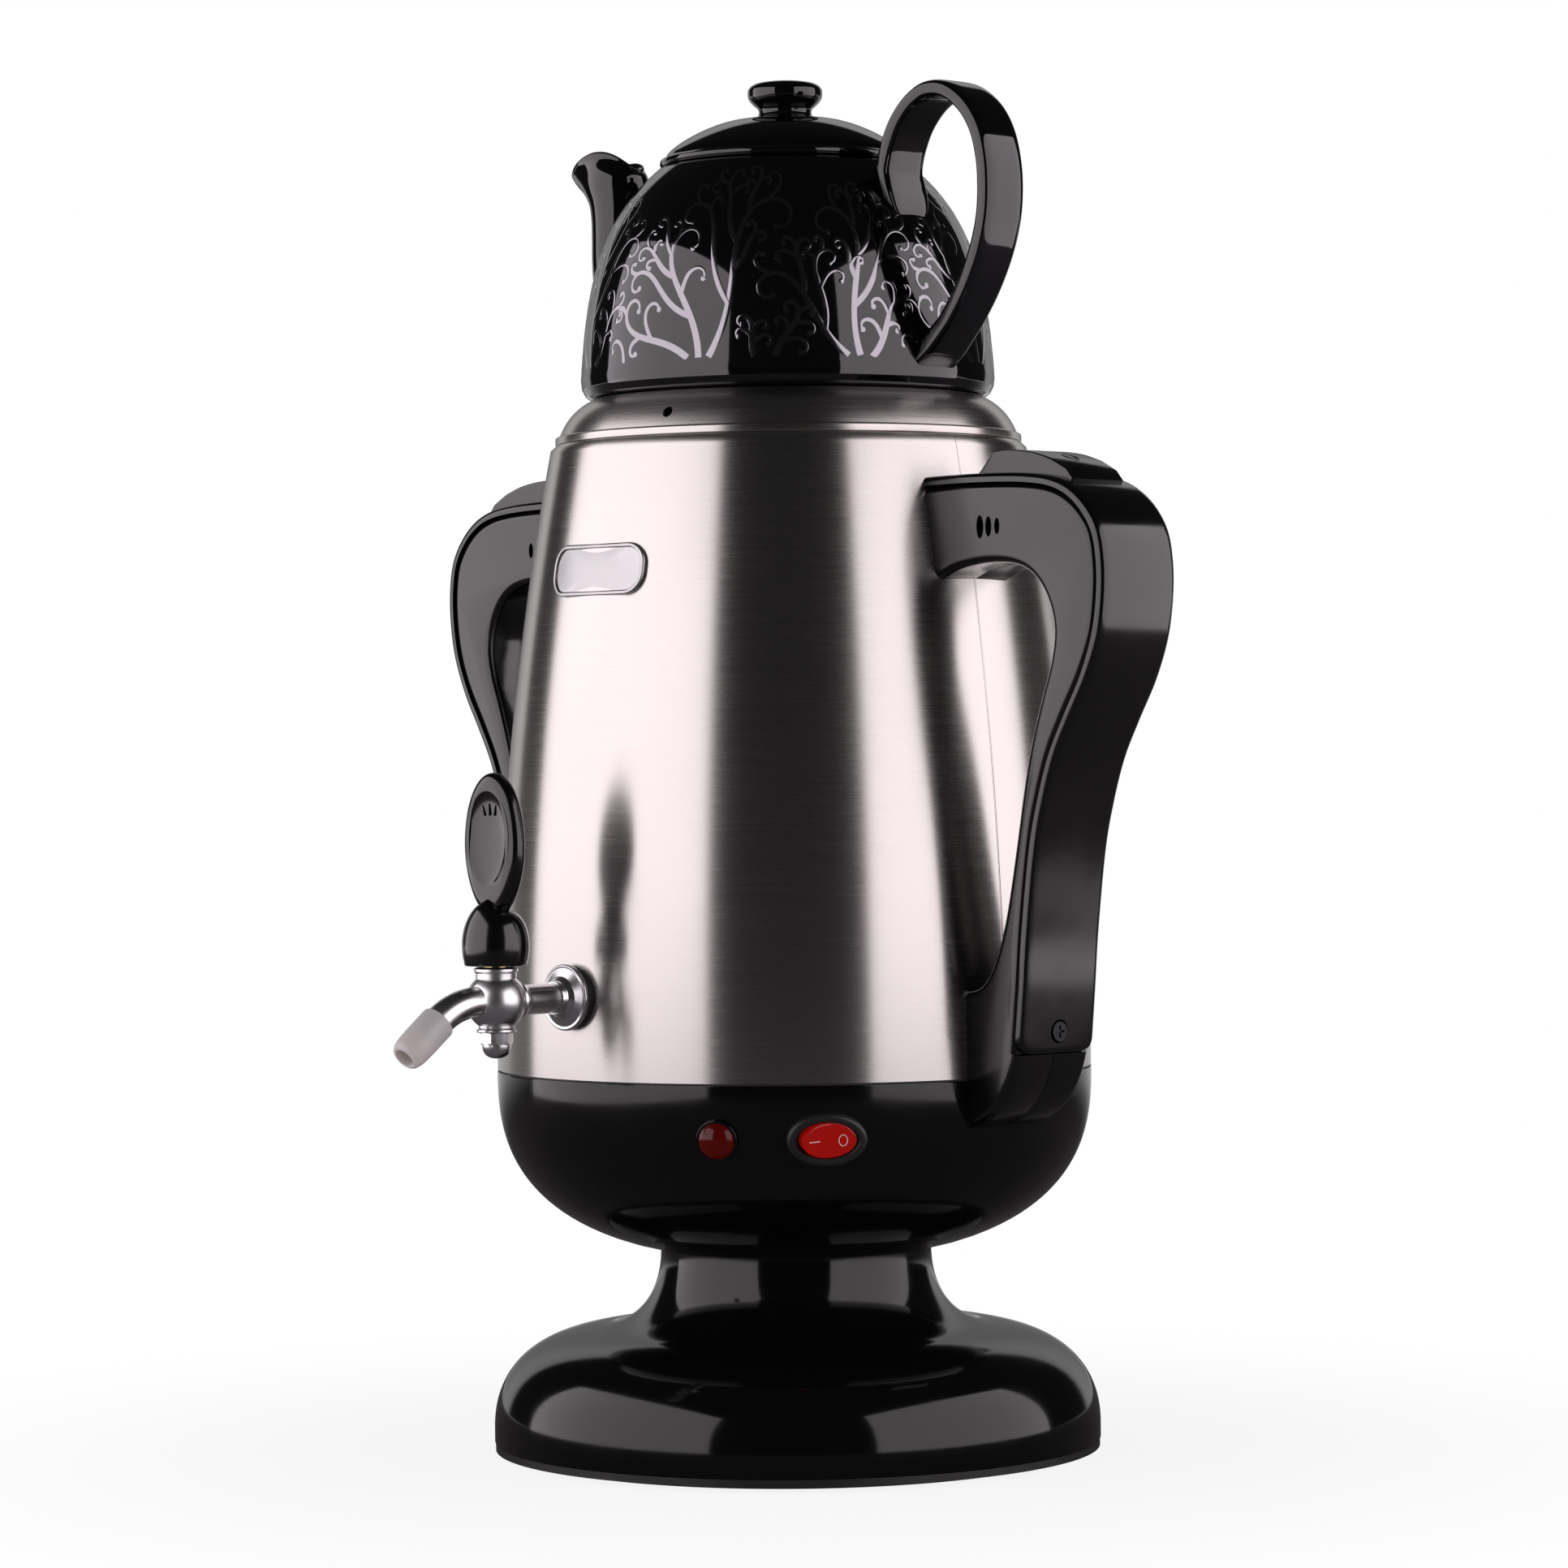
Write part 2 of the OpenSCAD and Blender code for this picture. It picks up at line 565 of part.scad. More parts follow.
// Places of the three pins, seen from outside: two live ones level, earth below them
pin_places = [[-pin_pitch, 1], [0, -3], [pin_pitch, 1]];
module power_inlet() color([0.05, 0.05, 0.05]) at_inlet() difference() {
    union() {
        bar(plinth_y, inlet_face) rounded_rect(inlet_w, inlet_h, 3);
        bar(inlet_face - inlet_depth, plinth_y + eps) square([inlet_body_w, inlet_body_h], center = true);
    }
    bar(inlet_face - inlet_cavity_depth, inlet_face + 1)
        polygon(cavity_shape(inlet_cavity_w, inlet_cavity_h, 4));
    for (x = [-1, 1]) translate([x * inlet_pitch / 2, 0, 0]) rotate([90, 0, 0])
        rotate_extrude() polygon([[0, plinth_y - 1], [inlet_screw_r + screw_gap, plinth_y - 1],
            [inlet_screw_r + screw_gap, inlet_face - 1.6], [3.2 + screw_gap, inlet_face],
            [3.2 + screw_gap, inlet_face + 1], [0, inlet_face + 1]]);
    for (p = pin_places) translate([p[0], 0, p[1]])
        bar(inlet_face - inlet_depth - 1, inlet_face - inlet_cavity_depth + 1)
            square([pin_w, pin_h], center = true);
}
module inlet_pins() color([0.8, 0.7, 0.4]) at_inlet() for (p = pin_places) translate([p[0], 0, p[1]])
    bar(inlet_face - inlet_depth - 7, inlet_face - inlet_pin_recess) square([pin_w, pin_h], center = true);
module inlet_screws() color([0.7, 0.7, 0.7]) at_inlet() for (x = [-1, 1])
    translate([x * inlet_pitch / 2, 0, 0]) rotate([90, 0, 0]) difference() {
        rotate_extrude() polygon([[0, plinth_y - inlet_screw_l], [0.4, plinth_y - inlet_screw_l],
            [inlet_screw_r, plinth_y - inlet_screw_l + 1.5], [inlet_screw_r, inlet_face - 1.6],
            [3.2, inlet_face], [0, inlet_face]]);
        for (a = [0, 90]) rotate([0, 0, a]) translate([-1.8, -0.35, inlet_face - 0.8]) cube([3.6, 0.7, 1]);
    }

// ---- Signal lamp ----
lamp_ring_r = lens_r + lamp_ring_w;
lamp_flange_t = 1.6;
lens_seat = 0.4;
lamp_barrel_l = 14;
lamp_bore_r = 3.6;
lamp_nut_y = plastic_wall + 0.8;
lamp_nut_h = 3;
bulb_r = 3.2;
bulb_l = 9;
module lamp_holder() color([0.03, 0.03, 0.03]) on_bowl(lamp_az) difference() {
    union() {
        off_bowl() rod(lamp_ring_r, -2, lamp_flange_t);
        rod(lamp_barrel_r, -lamp_barrel_l, lens_seat);
    }
    rod(lens_r + touch_gap, lens_seat, lamp_flange_t + 1);
    rod(lamp_bore_r, 2 - lamp_barrel_l, lens_seat + 1);
}
module lamp_lens() color([0.75, 0.02, 0.02]) on_bowl(lamp_az) rotate([90, 0, 0]) rotate_extrude()
    polygon(concat([[0, lens_seat], [lens_r, lens_seat], [lens_r, lens_seat + 1.4]],
        bezier([[lens_r - 0.4, lens_seat + 2], [lens_r - 1.2, 4], [lens_r / 2, 5], [0, 5]], 6)));
module lamp_nut() color([0.05, 0.05, 0.05]) on_bowl(lamp_az) difference() {
    translate([0, lamp_nut_y, 0]) rotate([-90, 0, 0]) cylinder(h = lamp_nut_h, r = 7, $fn = 6);
    rod(lamp_barrel_r + touch_gap, -lamp_nut_y - lamp_nut_h - 1, -lamp_nut_y + 1);
}
module neon_bulb() color([0.95, 0.7, 0.6]) on_bowl(lamp_az) {
    rod(bulb_r, 2 - lamp_barrel_l, 2 - lamp_barrel_l + bulb_l);
    translate([0, lamp_barrel_l - 2 - bulb_l, 0]) sphere(bulb_r);
}

// ---- Rocker switch ----
bezel_t = 2;
well_depth = 7;
switch_depth = 13;
pivot_y = 1;
pivot_pin_r = 1.2;
rocker_dish = 1.6;
well_w = rocker_w + 2;
well_h = rocker_h + 2 * slack;
pivot_reach = well_h / 2 + 0.7;
module switch_frame() color([0.03, 0.03, 0.03]) on_bowl(switch_az) difference() {
    union() {
        off_bowl() bar(-2, bezel_t) slot_shape(bezel_w, bezel_h);
        bar(-switch_depth, bezel_t - 1) square([switch_body_w, switch_body_h], center = true);
    }
    bar(-well_depth, bezel_t + 1) slot_shape(well_w, well_h);
    translate([0, pivot_y, 0]) cylinder(h = 2 * (pivot_reach + 0.2), r = pivot_pin_r + 0.06, center = true);
}
module switch_rocker() color([0.75, 0.03, 0.03]) on_bowl(switch_az) translate([0, pivot_y, 0])
    rotate([0, 0, rocker_tilt]) {
        intersection() {
            linear_extrude(rocker_h, center = true) polygon([
                [-rocker_w / 2, -3.2 - pivot_y - rocker_dish / 2 + 0.2], [0, -2.2 - pivot_y],
                [rocker_w / 2, -3.2 - pivot_y - rocker_dish / 2 + 0.2],
                [rocker_w / 2 - 1, 2.5], [1 - rocker_w / 2, 2.5]]);
            bar(-5, 8) slot_shape(rocker_w, rocker_h);
        }
        cylinder(h = 2 * pivot_reach, r = pivot_pin_r, center = true);
    }
module switch_terminals() color([0.8, 0.7, 0.4]) on_bowl(switch_az) for (x = [-7, 0, 7])
    translate([x - 0.4, switch_depth, -2.4]) cube([0.8, 8, 4.8]);

// ---- Badge ----
module badge() color([0.8, 0.8, 0.8]) difference() {
    intersection() {
        difference() {
            tank_solid(badge_t);
            tank_solid(touch_gap);
        }
        badge_prism(badge_w, badge_h);
    }
    intersection() {
        difference() {
            tank_solid(badge_t + 1);
            tank_solid(badge_t / 2);
        }
        badge_prism(badge_w - 2 * badge_rim, badge_h - 2 * badge_rim);
    }
}
module badge_prism(w, h) translate([0, 0, z_tank + badge_up]) bar(tank_top_r / 2, tank_r + 9)
    rounded_rect(w, h, 0.42 * h);

// ---- Tap ----
seal_t = 1.4;
tap_wall_r = tank_r_at(z_tap);
rosette_y = tap_wall_r + seal_t;
seal_in_t = 2;
seal_in_y = tap_wall_r - tank_wall - seal_in_t;
tap_nut_h = 5;
tap_nut_r = 8.1;
tap_nut_y = seal_in_y - tap_nut_h;
bend_y = plug_x + ball_r - 1.7;
bend_step = 0.2;
z_plug_low = -ball_r + 0.8;
plug_washer_t = 1;
plug_washer_r = 6.4;
plug_boss_r = 5.8;
screw_tail_r = 2.5;
acorn_h = 8.4;
acorn_r = 5.4;
module at_tap() { translate([0, 0, z_tap]) children(); }
// Frame at the start of the spout's bend: children are drawn along -Y
module at_bend(a) {
    translate([0, -bend_y, -spout_bend_r]) rotate([a, 0, 0]) translate([0, 0, spout_bend_r]) children();
}
// Ring section carried around the spout's bend, from angle a to angle b
module bend(r, a, b) {
    translate([0, -bend_y, -spout_bend_r]) rotate([0, -90, 0]) rotate([180, 0, 0]) rotate([0, 0, a])
        rotate_extrude(angle = b - a) translate([spout_bend_r, 0]) circle(r, $fn = 48);
}
module tap_rosette() color([0.85, 0.85, 0.86]) at_tap() rotate([90, 0, 0]) rotate_extrude() polygon([
    [pipe_r + touch_gap, rosette_y], [rosette_r - 0.4, rosette_y], [rosette_r, rosette_y + 0.5],
    [rosette_r, rosette_y + 1.2], [rosette_r - 0.5, rosette_y + 1.7],
    [pipe_r + 1.2, rosette_y + rosette_h - 0.8], [pipe_r + 0.9, rosette_y + rosette_h],
    [pipe_r + touch_gap, rosette_y + rosette_h]]);
module tap_seal_outer() color([0.06, 0.06, 0.06]) difference() {
    at_tap() rod(rosette_r - 0.6, tap_wall_r - 3, rosette_y);
    at_tap() rod(pipe_r + touch_gap, tap_wall_r - 4, rosette_y + 1);
    tank_solid(0);
}
module tap_seal_inner() color([0.75, 0.3, 0.2]) intersection() {
    at_tap() difference() {
        rod(tap_nut_r + 1, seal_in_y, tap_wall_r + 1);
        rod(pipe_r + touch_gap, seal_in_y - 1, tap_wall_r + 2);
    }
    tank_solid(-tank_wall);
}
module tap_nut() color([0.7, 0.7, 0.7]) at_tap() difference() {
    translate([0, -tap_nut_y, 0]) rotate([90, 0, 0]) cylinder(h = tap_nut_h, r = tap_nut_r, $fn = 6);
    rod(pipe_r + touch_gap, tap_nut_y - 1, seal_in_y + 1);
}
spout_tail = 8;
module tap_body() color([0.85, 0.85, 0.86]) at_tap() difference() {
    union() {
        rod(pipe_r, tap_nut_y - 3, plug_x);
        translate([0, -plug_x, 0]) {
            sphere(ball_r);
            cylinder(h = tap_neck_up, r = tap_neck_r);
            translate([0, 0, tap_neck_up - 1.4]) cylinder(h = 1, r = tap_neck_r + 0.5);
            translate([0, 0, z_plug_low]) cylinder(h = -z_plug_low, r = plug_boss_r);
        }
        bend(pipe_r, 0, spout_bend_a);
        at_bend(spout_bend_a) rod(pipe_r - bend_step, -0.4, spout_tail);
    }
    rod(waterway_r + bend_step, tap_nut_y - 4, bend_y + 0.4);
    bend(waterway_r, 0, spout_bend_a);
    at_bend(spout_bend_a) rod(waterway_r + bend_step, -0.4, spout_tail + 1);
    translate([0, -plug_x, z_plug_low - 1]) cylinder(h = tap_neck_up - z_plug_low + 2, r = plug_r + plug_gap);
}
nozzle_r = pipe_r + nozzle_wall;
nozzle_hole_r = 3.4;
nozzle_stop = 0.1;
module nozzle_tip() color([0.85, 0.83, 0.82, 0.8]) at_tap() at_bend(spout_bend_a) difference() {
    rotate([90, 0, 0]) rotate_extrude() polygon(concat(
        [[0, nozzle_stop], [nozzle_r - 0.3, nozzle_stop], [nozzle_r, nozzle_stop + 0.5],
            [nozzle_r, nozzle_l / 2]],
        bezier([[nozzle_r - 0.1, 0.7 * nozzle_l], [nozzle_r - 0.2, 0.9 * nozzle_l],
            [nozzle_r - 0.9, nozzle_l], [nozzle_hole_r, nozzle_l]], 5), [[0, nozzle_l]]));
    rod(pipe_r - bend_step + touch_gap, -1, spout_tail + 0.2);
    rod(nozzle_hole_r, spout_tail, nozzle_l + 1);
}
plug_stem_r = 3.2;
lever_z = tap_neck_up + 0.4;
plug_top = lever_z + 0.55 * hub_h;
module tap_plug() color([0.78, 0.68, 0.42]) at_tap() translate([0, -plug_x, 0]) difference() {
    union() {
        translate([0, 0, z_plug_low]) cylinder(h = lever_z - z_plug_low, r = plug_r);
        translate([0, 0, lever_z - eps]) cylinder(h = plug_top - lever_z, r = plug_stem_r);
        translate([0, 0, z_plug_low - plug_washer_t - 5.5]) cylinder(h = plug_washer_t + 6, r = screw_tail_r);
    }
    rotate([0, 90, 0]) cylinder(h = 4 * plug_r, r = waterway_r, center = true);
}
module plug_washer() color([0.85, 0.85, 0.86]) at_tap()
    translate([0, -plug_x, z_plug_low - plug_washer_t - 0.1])
    difference() {
        cylinder(h = plug_washer_t, r = plug_washer_r);
        translate([0, 0, -1]) cylinder(h = plug_washer_t + 2, r = screw_tail_r + touch_gap);
    }
module acorn_nut() color([0.85, 0.85, 0.86]) at_tap()
    translate([0, -plug_x, z_plug_low - plug_washer_t - 0.1]) difference() {
        union() {
            translate([0, 0, -0.45 * acorn_h]) cylinder(h = 0.45 * acorn_h, r = acorn_r, $fn = 6);
            mirror([0, 0, 1]) rotate_extrude() polygon(concat([[0, 0.3 * acorn_h],
                [0.84 * acorn_r, 0.3 * acorn_h]], bezier([[0.84 * acorn_r, 0.55 * acorn_h],
                [0.84 * acorn_r, 0.85 * acorn_h], [0.5 * acorn_r, acorn_h], [0, acorn_h]], 6)));
        }
        translate([0, 0, -6]) cylinder(h = 7, r = screw_tail_r + touch_gap);
    }
paddle_low = lever_z + hub_h - 3.5;
module tap_lever() color([0.02, 0.02, 0.022]) at_tap() translate([0, -plug_x, 0]) difference() {
    union() {
        translate([0, 0, lever_z]) rotate_extrude() polygon(concat([[0, 0], [hub_r - 0.6, 0],
            [hub_r - 0.3, 0.6]], bezier([[hub_r, 0.25 * hub_h], [hub_r + 0.6, 0.7 * hub_h],
            [0.6 * hub_r, 0.95 * hub_h], [0, hub_h]], 8)));
        translate([0, 0, paddle_low + paddle_h / 2]) {
            bar(-paddle_t / 4, paddle_t / 4) polygon(oval(paddle_w, paddle_h));
            for (side = [0, 1]) mirror([0, side, 0]) hull() {
                bar(paddle_t / 4 - eps, paddle_t / 4) polygon(oval(paddle_w, paddle_h, 32));
                bar(paddle_t / 2 - eps, paddle_t / 2) polygon(oval(paddle_w - 2, paddle_h - 2, 32));
            }
        }
    }
    translate([0, 0, lever_z - 1]) cylinder(h = plug_top - lever_z + 1 + slack, r = plug_stem_r + touch_gap);
    translate([0, 0, paddle_low + 0.55 * paddle_h]) bar(paddle_t / 2 - 0.8, paddle_t)
        polygon(oval(0.72 * paddle_w, 0.62 * paddle_h));
}

// ---- Handles ----
// The lines below are in thousandths of the reach and height of a handle
function on_handle(p) = [for (q = p) [tank_r + handle_out * q[0] / 1000, z_tank + handle_up * q[1] / 1000]];
// Outer line of the cover, from the tank over the top and down
cover_root = [tank_top_r - 4.6, z_tank + handle_up - 0.2];
cover_line = spline(concat([cover_root], on_handle([[63, 1000], [445, 995], [678, 982], [844, 951],
    [960, 903], [1000, 846], [997, 785], [958, 720], [870, 654], [744, 587], [638, 525], [555, 451],
    [495, 374], [439, 246], [409, 143], [377, 43]])), 3);
// Outer line of the heel, from the end of the cover down and into the bowl
heel_line = spline(on_handle([[349, 42], [326, 17], [269, -18], [179, -50], [63, -72], [-70, -85],
    [-236, -90]]), 2);
// Inner line around the grip, from the tank down
grip_line = spline(on_handle([[-468, 825], [-236, 827], [-78, 843], [130, 851], [337, 847], [478, 828],
    [576, 790], [623, 741], [598, 687], [527, 625], [450, 554], [392, 479], [342, 400], [294, 325],
    [243, 259], [179, 205], [96, 164], [-12, 148], [-236, 146]]), 2);
function respace(p, n) = [for (i = [0:n - 1]) let (f = min(i * (len(p) - 1) / (n - 1), len(p) - 1 - eps),
    k = floor(f)) p[k] + (f - k) * (p[k + 1] - p[k])];
function slice(p, a, b) = [for (i = [a:b]) p[i]];
function frame_outer(d) = concat(inset(cover_line, cover_t + touch_gap + d), inset(heel_line, d));
// As many points as the outer line, with the bend at the lower end against the end of the cover
function frame_inner(d) = let (g = inset(grip_line, -d), last = len(g) - 1)
    concat(respace(slice(g, 0, last - 4), len(cover_line)),
        respace(slice(g, last - 3, last), len(heel_line)));
// Turns a shape drawn in distance and height, with its width along Z, into place on the right
module upright() { rotate([90, 0, 0]) children(); }
module handle_side(side) { rotate([0, 0, side]) children(); }
module half_blank() {
    line_loft(concat([[frame_outer(0), frame_inner(0), -2]], [for (k = [0:3]) let (a = 30 * k,
        d = handle_round * (1 - cos(a)))
        [frame_outer(d), frame_inner(d), handle_w / 2 - handle_round * (1 - sin(a))]]));
}
top_screw_x = tank_r + top_screw_out;
top_tab_z = z_tank + handle_up - 19;
low_tab_x = tank_r + 11.8;
tab_t = 1.5;
handle_screw_r = 1.5;
handle_head_r = 3.2;
handle_head_h = 2;
// Seats of the heads of the two screws
low_head_x = tank_r + 21.8;
top_head_z = z_tank + handle_up + 1.2;
// Row of slots beside the cap: first distance from the tank, pitch, depth below the top
slot_out = 7;
slot_pitch = 3.7;
slot_drop = 16;
// One moulded half of a handle, hollow towards the other half
module handle_half() difference() {
    upright() difference() {
        half_blank();
        translate([0, 0, -3]) linear_extrude(handle_w / 2 - handle_wall + 3)
            polygon(concat(frame_outer(handle_wall), flip(frame_inner(handle_wall))));
    }
    cube(far);
    handle_cuts();
    for (k = [0:2])
        translate([tank_r + slot_out + slot_pitch * k, 0, z_tank + handle_up - slot_drop]) rotate([90, 0, 0])
        translate([0, 0, handle_w / 2 - handle_wall - 1]) linear_extrude(handle_wall + 2)
            polygon(oval(3.2 - 0.3 * k, 6.6 - 0.9 * k, 16));
}
module handle_cuts() {
    tank_solid(0);
    bowl_solid(0, z_foot_top, z_tank + eps);
    translate([top_screw_x, 0, top_tab_z]) cylinder(h = 40, r = handle_screw_r + slack);
    translate([low_tab_x, 0, z_low_screw]) rotate([0, 90, 0]) cylinder(h = 40, r = handle_screw_r + slack);
}
module handle_cover() {
    half = handle_w / 2;
    difference() {
        upright() line_loft([for (v = [[-half, 2], [0.6 - half, 0.6], [2 - half, 0], [half - 2, 0],
            [half - 0.6, 0.6], [half, 2]]) [inset(cover_line, v[1]), inset(cover_line, cover_t), v[0]]]);
        tank_solid(0);
        translate([low_tab_x, 0, z_low_screw]) rotate([0, 90, 0]) {
            cylinder(h = 40, r = handle_screw_r + slack);
            translate([0, 0, low_head_x - touch_gap - low_tab_x]) cylinder(h = 30, r = low_recess_r);
        }
        translate([top_screw_x, 0, top_tab_z]) cylinder(h = 40, r = handle_screw_r + slack);
    }
}
// Cap over the upper screw, lying on the cover
module handle_cap() difference() {
    upright() translate([0, 0, -cap_w / 2]) linear_extrude(cap_w)
        polygon(on_handle([[-3, 974], [30, 1005], [121, 1036], [196, 1038], [329, 1035], [512, 1023],
            [661, 1003], [719, 985], [711, 964]]));
    upright() translate([0, 0, -handle_w / 2]) linear_extrude(handle_w)
        polygon(concat(cover_line, [[tank_r / 2, z_tank]]));
    translate([top_screw_x, 0, top_tab_z])
        cylinder(h = top_head_z + handle_head_h + 0.2 - top_tab_z, r = handle_head_r + 0.4);
}
module handle_screws() {
    translate([top_screw_x, 0, top_tab_z - 2]) {
        cylinder(h = top_head_z - top_tab_z + 2, r = handle_screw_r);
        translate([0, 0, top_head_z - top_tab_z + 2 - eps]) cylinder(h = handle_head_h, r = handle_head_r);
    }
    translate([low_tab_x - 3, 0, z_low_screw]) rotate([0, 90, 0]) {
        cylinder(h = low_head_x - low_tab_x + 3 + eps, r = handle_screw_r);
        translate([0, 0, low_head_x - low_tab_x + 3]) difference() {
            cylinder(h = handle_head_h, r = handle_head_r);
            for (a = [0, 90]) rotate([0, 0, a]) translate([-2, -0.4, handle_head_h - 0.8]) cube([4, 0.8, 2]);
        }
    }
}
tab_w = 14;
low_tab_h = 12;
low_tab_z = z_low_screw - low_tab_h / 2 - tab_t;
// Steel straps welded to the tank, which the two screws of a handle bite into
module handle_brackets() difference() {
    union() {
        translate([tank_top_r - 4, -tab_w / 2, top_tab_z - tab_t])
            cube([top_screw_x - tank_top_r + 10, tab_w, tab_t]);
        translate([tank_r - 8, -tab_w / 2, low_tab_z]) cube([low_tab_x - tank_r + 8, tab_w, tab_t]);
        translate([low_tab_x - tab_t, -tab_w / 2, low_tab_z]) cube([tab_t, tab_w, low_tab_h]);
    }
    tank_solid(0);
    translate([top_screw_x, 0, top_tab_z - 2 * tab_t])
        cylinder(h = 3 * tab_t, r = handle_screw_r + touch_gap);
    translate([low_tab_x - 2 * tab_t, 0, z_low_screw]) rotate([0, 90, 0])
        cylinder(h = 3 * tab_t, r = handle_screw_r + touch_gap);
}
module black() { color([0.02, 0.02, 0.022]) children(); }
module steel() { color([0.65, 0.65, 0.66]) children(); }
module handle_right_front_half() black() handle_half();
module handle_right_rear_half() black() mirror([0, 1, 0]) handle_half();
module handle_right_cover() black() handle_cover();
module handle_right_cap() black() handle_cap();
module handle_right_screws() steel() handle_screws();
module handle_right_brackets() steel() handle_brackets();
module handle_left_front_half() black() mirror([1, 0, 0]) handle_half();
module handle_left_rear_half() black() rotate([0, 0, 180]) handle_half();
module handle_left_cover() black() rotate([0, 0, 180]) handle_cover();
module handle_left_cap() black() rotate([0, 0, 180]) handle_cap();
module handle_left_screws() steel() rotate([0, 0, 180]) handle_screws();
module handle_left_brackets() steel() rotate([0, 0, 180]) handle_brackets();

// ---- Ring that carries the teapot ----
skirt_r = mouth_r - tank_wall - 0.7;
module stand_ring() color([0.7, 0.68, 0.66]) translate([0, 0, z_mouth]) difference() {
    rotate_extrude() polygon(concat(
        [[skirt_r, -ring_skirt_h], [skirt_r, 0], [bead_r - 0.4, 0], [bead_r, 0.6], [bead_r, 2.4],
            [bead_r - 0.5, 3]],
        bezier([[bead_r - 1.5, 3.2], [bead_r - 3.1, 0.5 * ring_h], [bead_r - 6, 0.78 * ring_h],
            [ring_top_r, ring_h - 0.3]]),
        [[ring_top_r - 0.5, ring_h], [ring_hole_r + 1, ring_h], [ring_hole_r, ring_h - 1],
            [ring_hole_r, ring_h - 5], [ring_hole_r + ring_t, ring_h - 5],
            [ring_hole_r + ring_t, ring_h - 1 - ring_t / 2], [ring_top_r - 0.7, ring_h - 1.2 * ring_t]],
        flip(bezier([[skirt_r - ring_t, 3.2], [bead_r - 3.1 - ring_t, 0.5 * ring_h - 0.4],
            [bead_r - 6.4 - ring_t, 0.78 * ring_h - 0.7], [ring_top_r - 0.4, ring_h - 1.4 * ring_t]])),
        [[skirt_r - ring_t, -ring_skirt_h]]));
    bearing(steam_az) translate([0, 0, 0.49 * ring_h]) rod(steam_r, ring_hole_r, bead_r + 2);
}

// ---- Teapot ----
pot_boss_r = ring_hole_r - 0.6;
pot_boss_h = 2.5;
pot_foot_r = pot_r - 5.4;
function pot_side(w) = bezier([[pot_r - w, 6.5], [pot_r - 2.2 - w, 0.53 * pot_h],
    [pot_mouth_r + 20.2 - w, 0.79 * pot_h - 0.5 * w], [pot_mouth_r - w / 2, pot_h - w]], 14);
module pot_solid(top) rotate_extrude() polygon(concat([[0, -pot_boss_h], [pot_boss_r, -pot_boss_h],
    [pot_boss_r, 0], [pot_foot_r, 0], [pot_r - 1.7, 1], [pot_r - 0.3, 3.5]], pot_side(0), [[0, top]]));
module at_pot() { translate([0, 0, z_seat]) rotate([0, 0, pot_turn]) children(); }
strainer_r = 2.4;
strainer_low = 22;
module teapot_body() color([0.015, 0.015, 0.02]) at_pot() difference() {
    pot_solid(pot_h);
    rotate_extrude() polygon(concat([[0, pot_wall - pot_boss_h], [pot_foot_r - 3, pot_wall - pot_boss_h],
        [pot_r - pot_wall - 1.2, pot_wall]], pot_side(pot_wall), [[0, pot_h - pot_wall]]));
    translate([0, 0, pot_h - 2 * pot_wall]) cylinder(h = 3 * pot_wall, r = pot_hole_r);
    for (k = [-1:1], j = [0:1]) rotate([0, 0, -90]) translate([7 * k, 0, strainer_low + 7 * j])
        rod(strainer_r, pot_hole_r, pot_r + 2);
}
// The lines below are in thousandths of the radius and height of the teapot
// Spout line: distance out, height above the seat, half depth, half width
spout_line = [for (p = [[801, 204, 200, 186], [1001, 331, 186, 172], [1116, 497, 160, 155],
    [1156, 713, 146, 143], [1173, 904, 152, 143], [1239, 1096, 215, 163]])
    [pot_r * p[0] / 1000, pot_h * p[1] / 1000, pot_r * p[2] / 1000, pot_r * p[3] / 1000]];
// Ring of points across a line in distance and height, with its width along Y
function ring_at(p, i, cut, n) = let (a = knot(p, i - 1), b = knot(p, i + 1),
    t = unit([b[0] - a[0], b[1] - a[1]]), q = p[i])
    [for (k = [0:n - 1]) let (c = (q[2] - cut) * cos(360 * k / n), s = (q[3] - cut) * sin(360 * k / n))
        [q[0] + t[1] * c, s, q[1] - t[0] * c]];
module sweep(line, cut, n) {
    p = spline(line, 3);
    loft([for (i = [0:len(p) - 1]) ring_at(p, i, cut, n)]);
}
spout_wall = 2.8;
module teapot_spout() color([0.015, 0.015, 0.02]) at_pot() rotate([0, 0, 180]) difference() {
    sweep(spout_line, 0, 28);
    sweep([for (p = spout_line) p + (p[1] > pot_h ? [0.1, 0.6, 0, 0] : [0, 0, 0, 0])], spout_wall, 28);
    pot_solid(pot_h);
}
// Handle line: distance out, height above the seat, half thickness, half width
pht = pot_handle_t / 2;
phw = pot_handle_w / 2;
pot_handle_line = [for (p = [[672, 790], [732, 1009], [787, 1124], [903, 1220], [1054, 1247],
    [1225, 1177], [1333, 1019], [1379, 777], [1352, 561], [1256, 369], [1122, 217], [944, 108]])
    [pot_r * p[0] / 1000, pot_h * p[1] / 1000, pht, phw]];
module teapot_handle() color([0.015, 0.015, 0.02]) at_pot() difference() {
    sweep(pot_handle_line, 0, 20);
    pot_solid(pot_h);
}
lid_spigot_r = pot_hole_r - lid_play;
lid_rim_h = 2.6;
lid_dome_r = lid_r - 2;
function dome(w) = bezier([[lid_dome_r - w, lid_rim_h + 1.2 - w], [lid_dome_r - 2.4 - w, lid_rim_h + 5 - w],
    [0.46 * lid_r, lid_dome_h + 2.2 - w], [0, lid_dome_h - w]], 10);
knob_foot = lid_dome_h - 2;
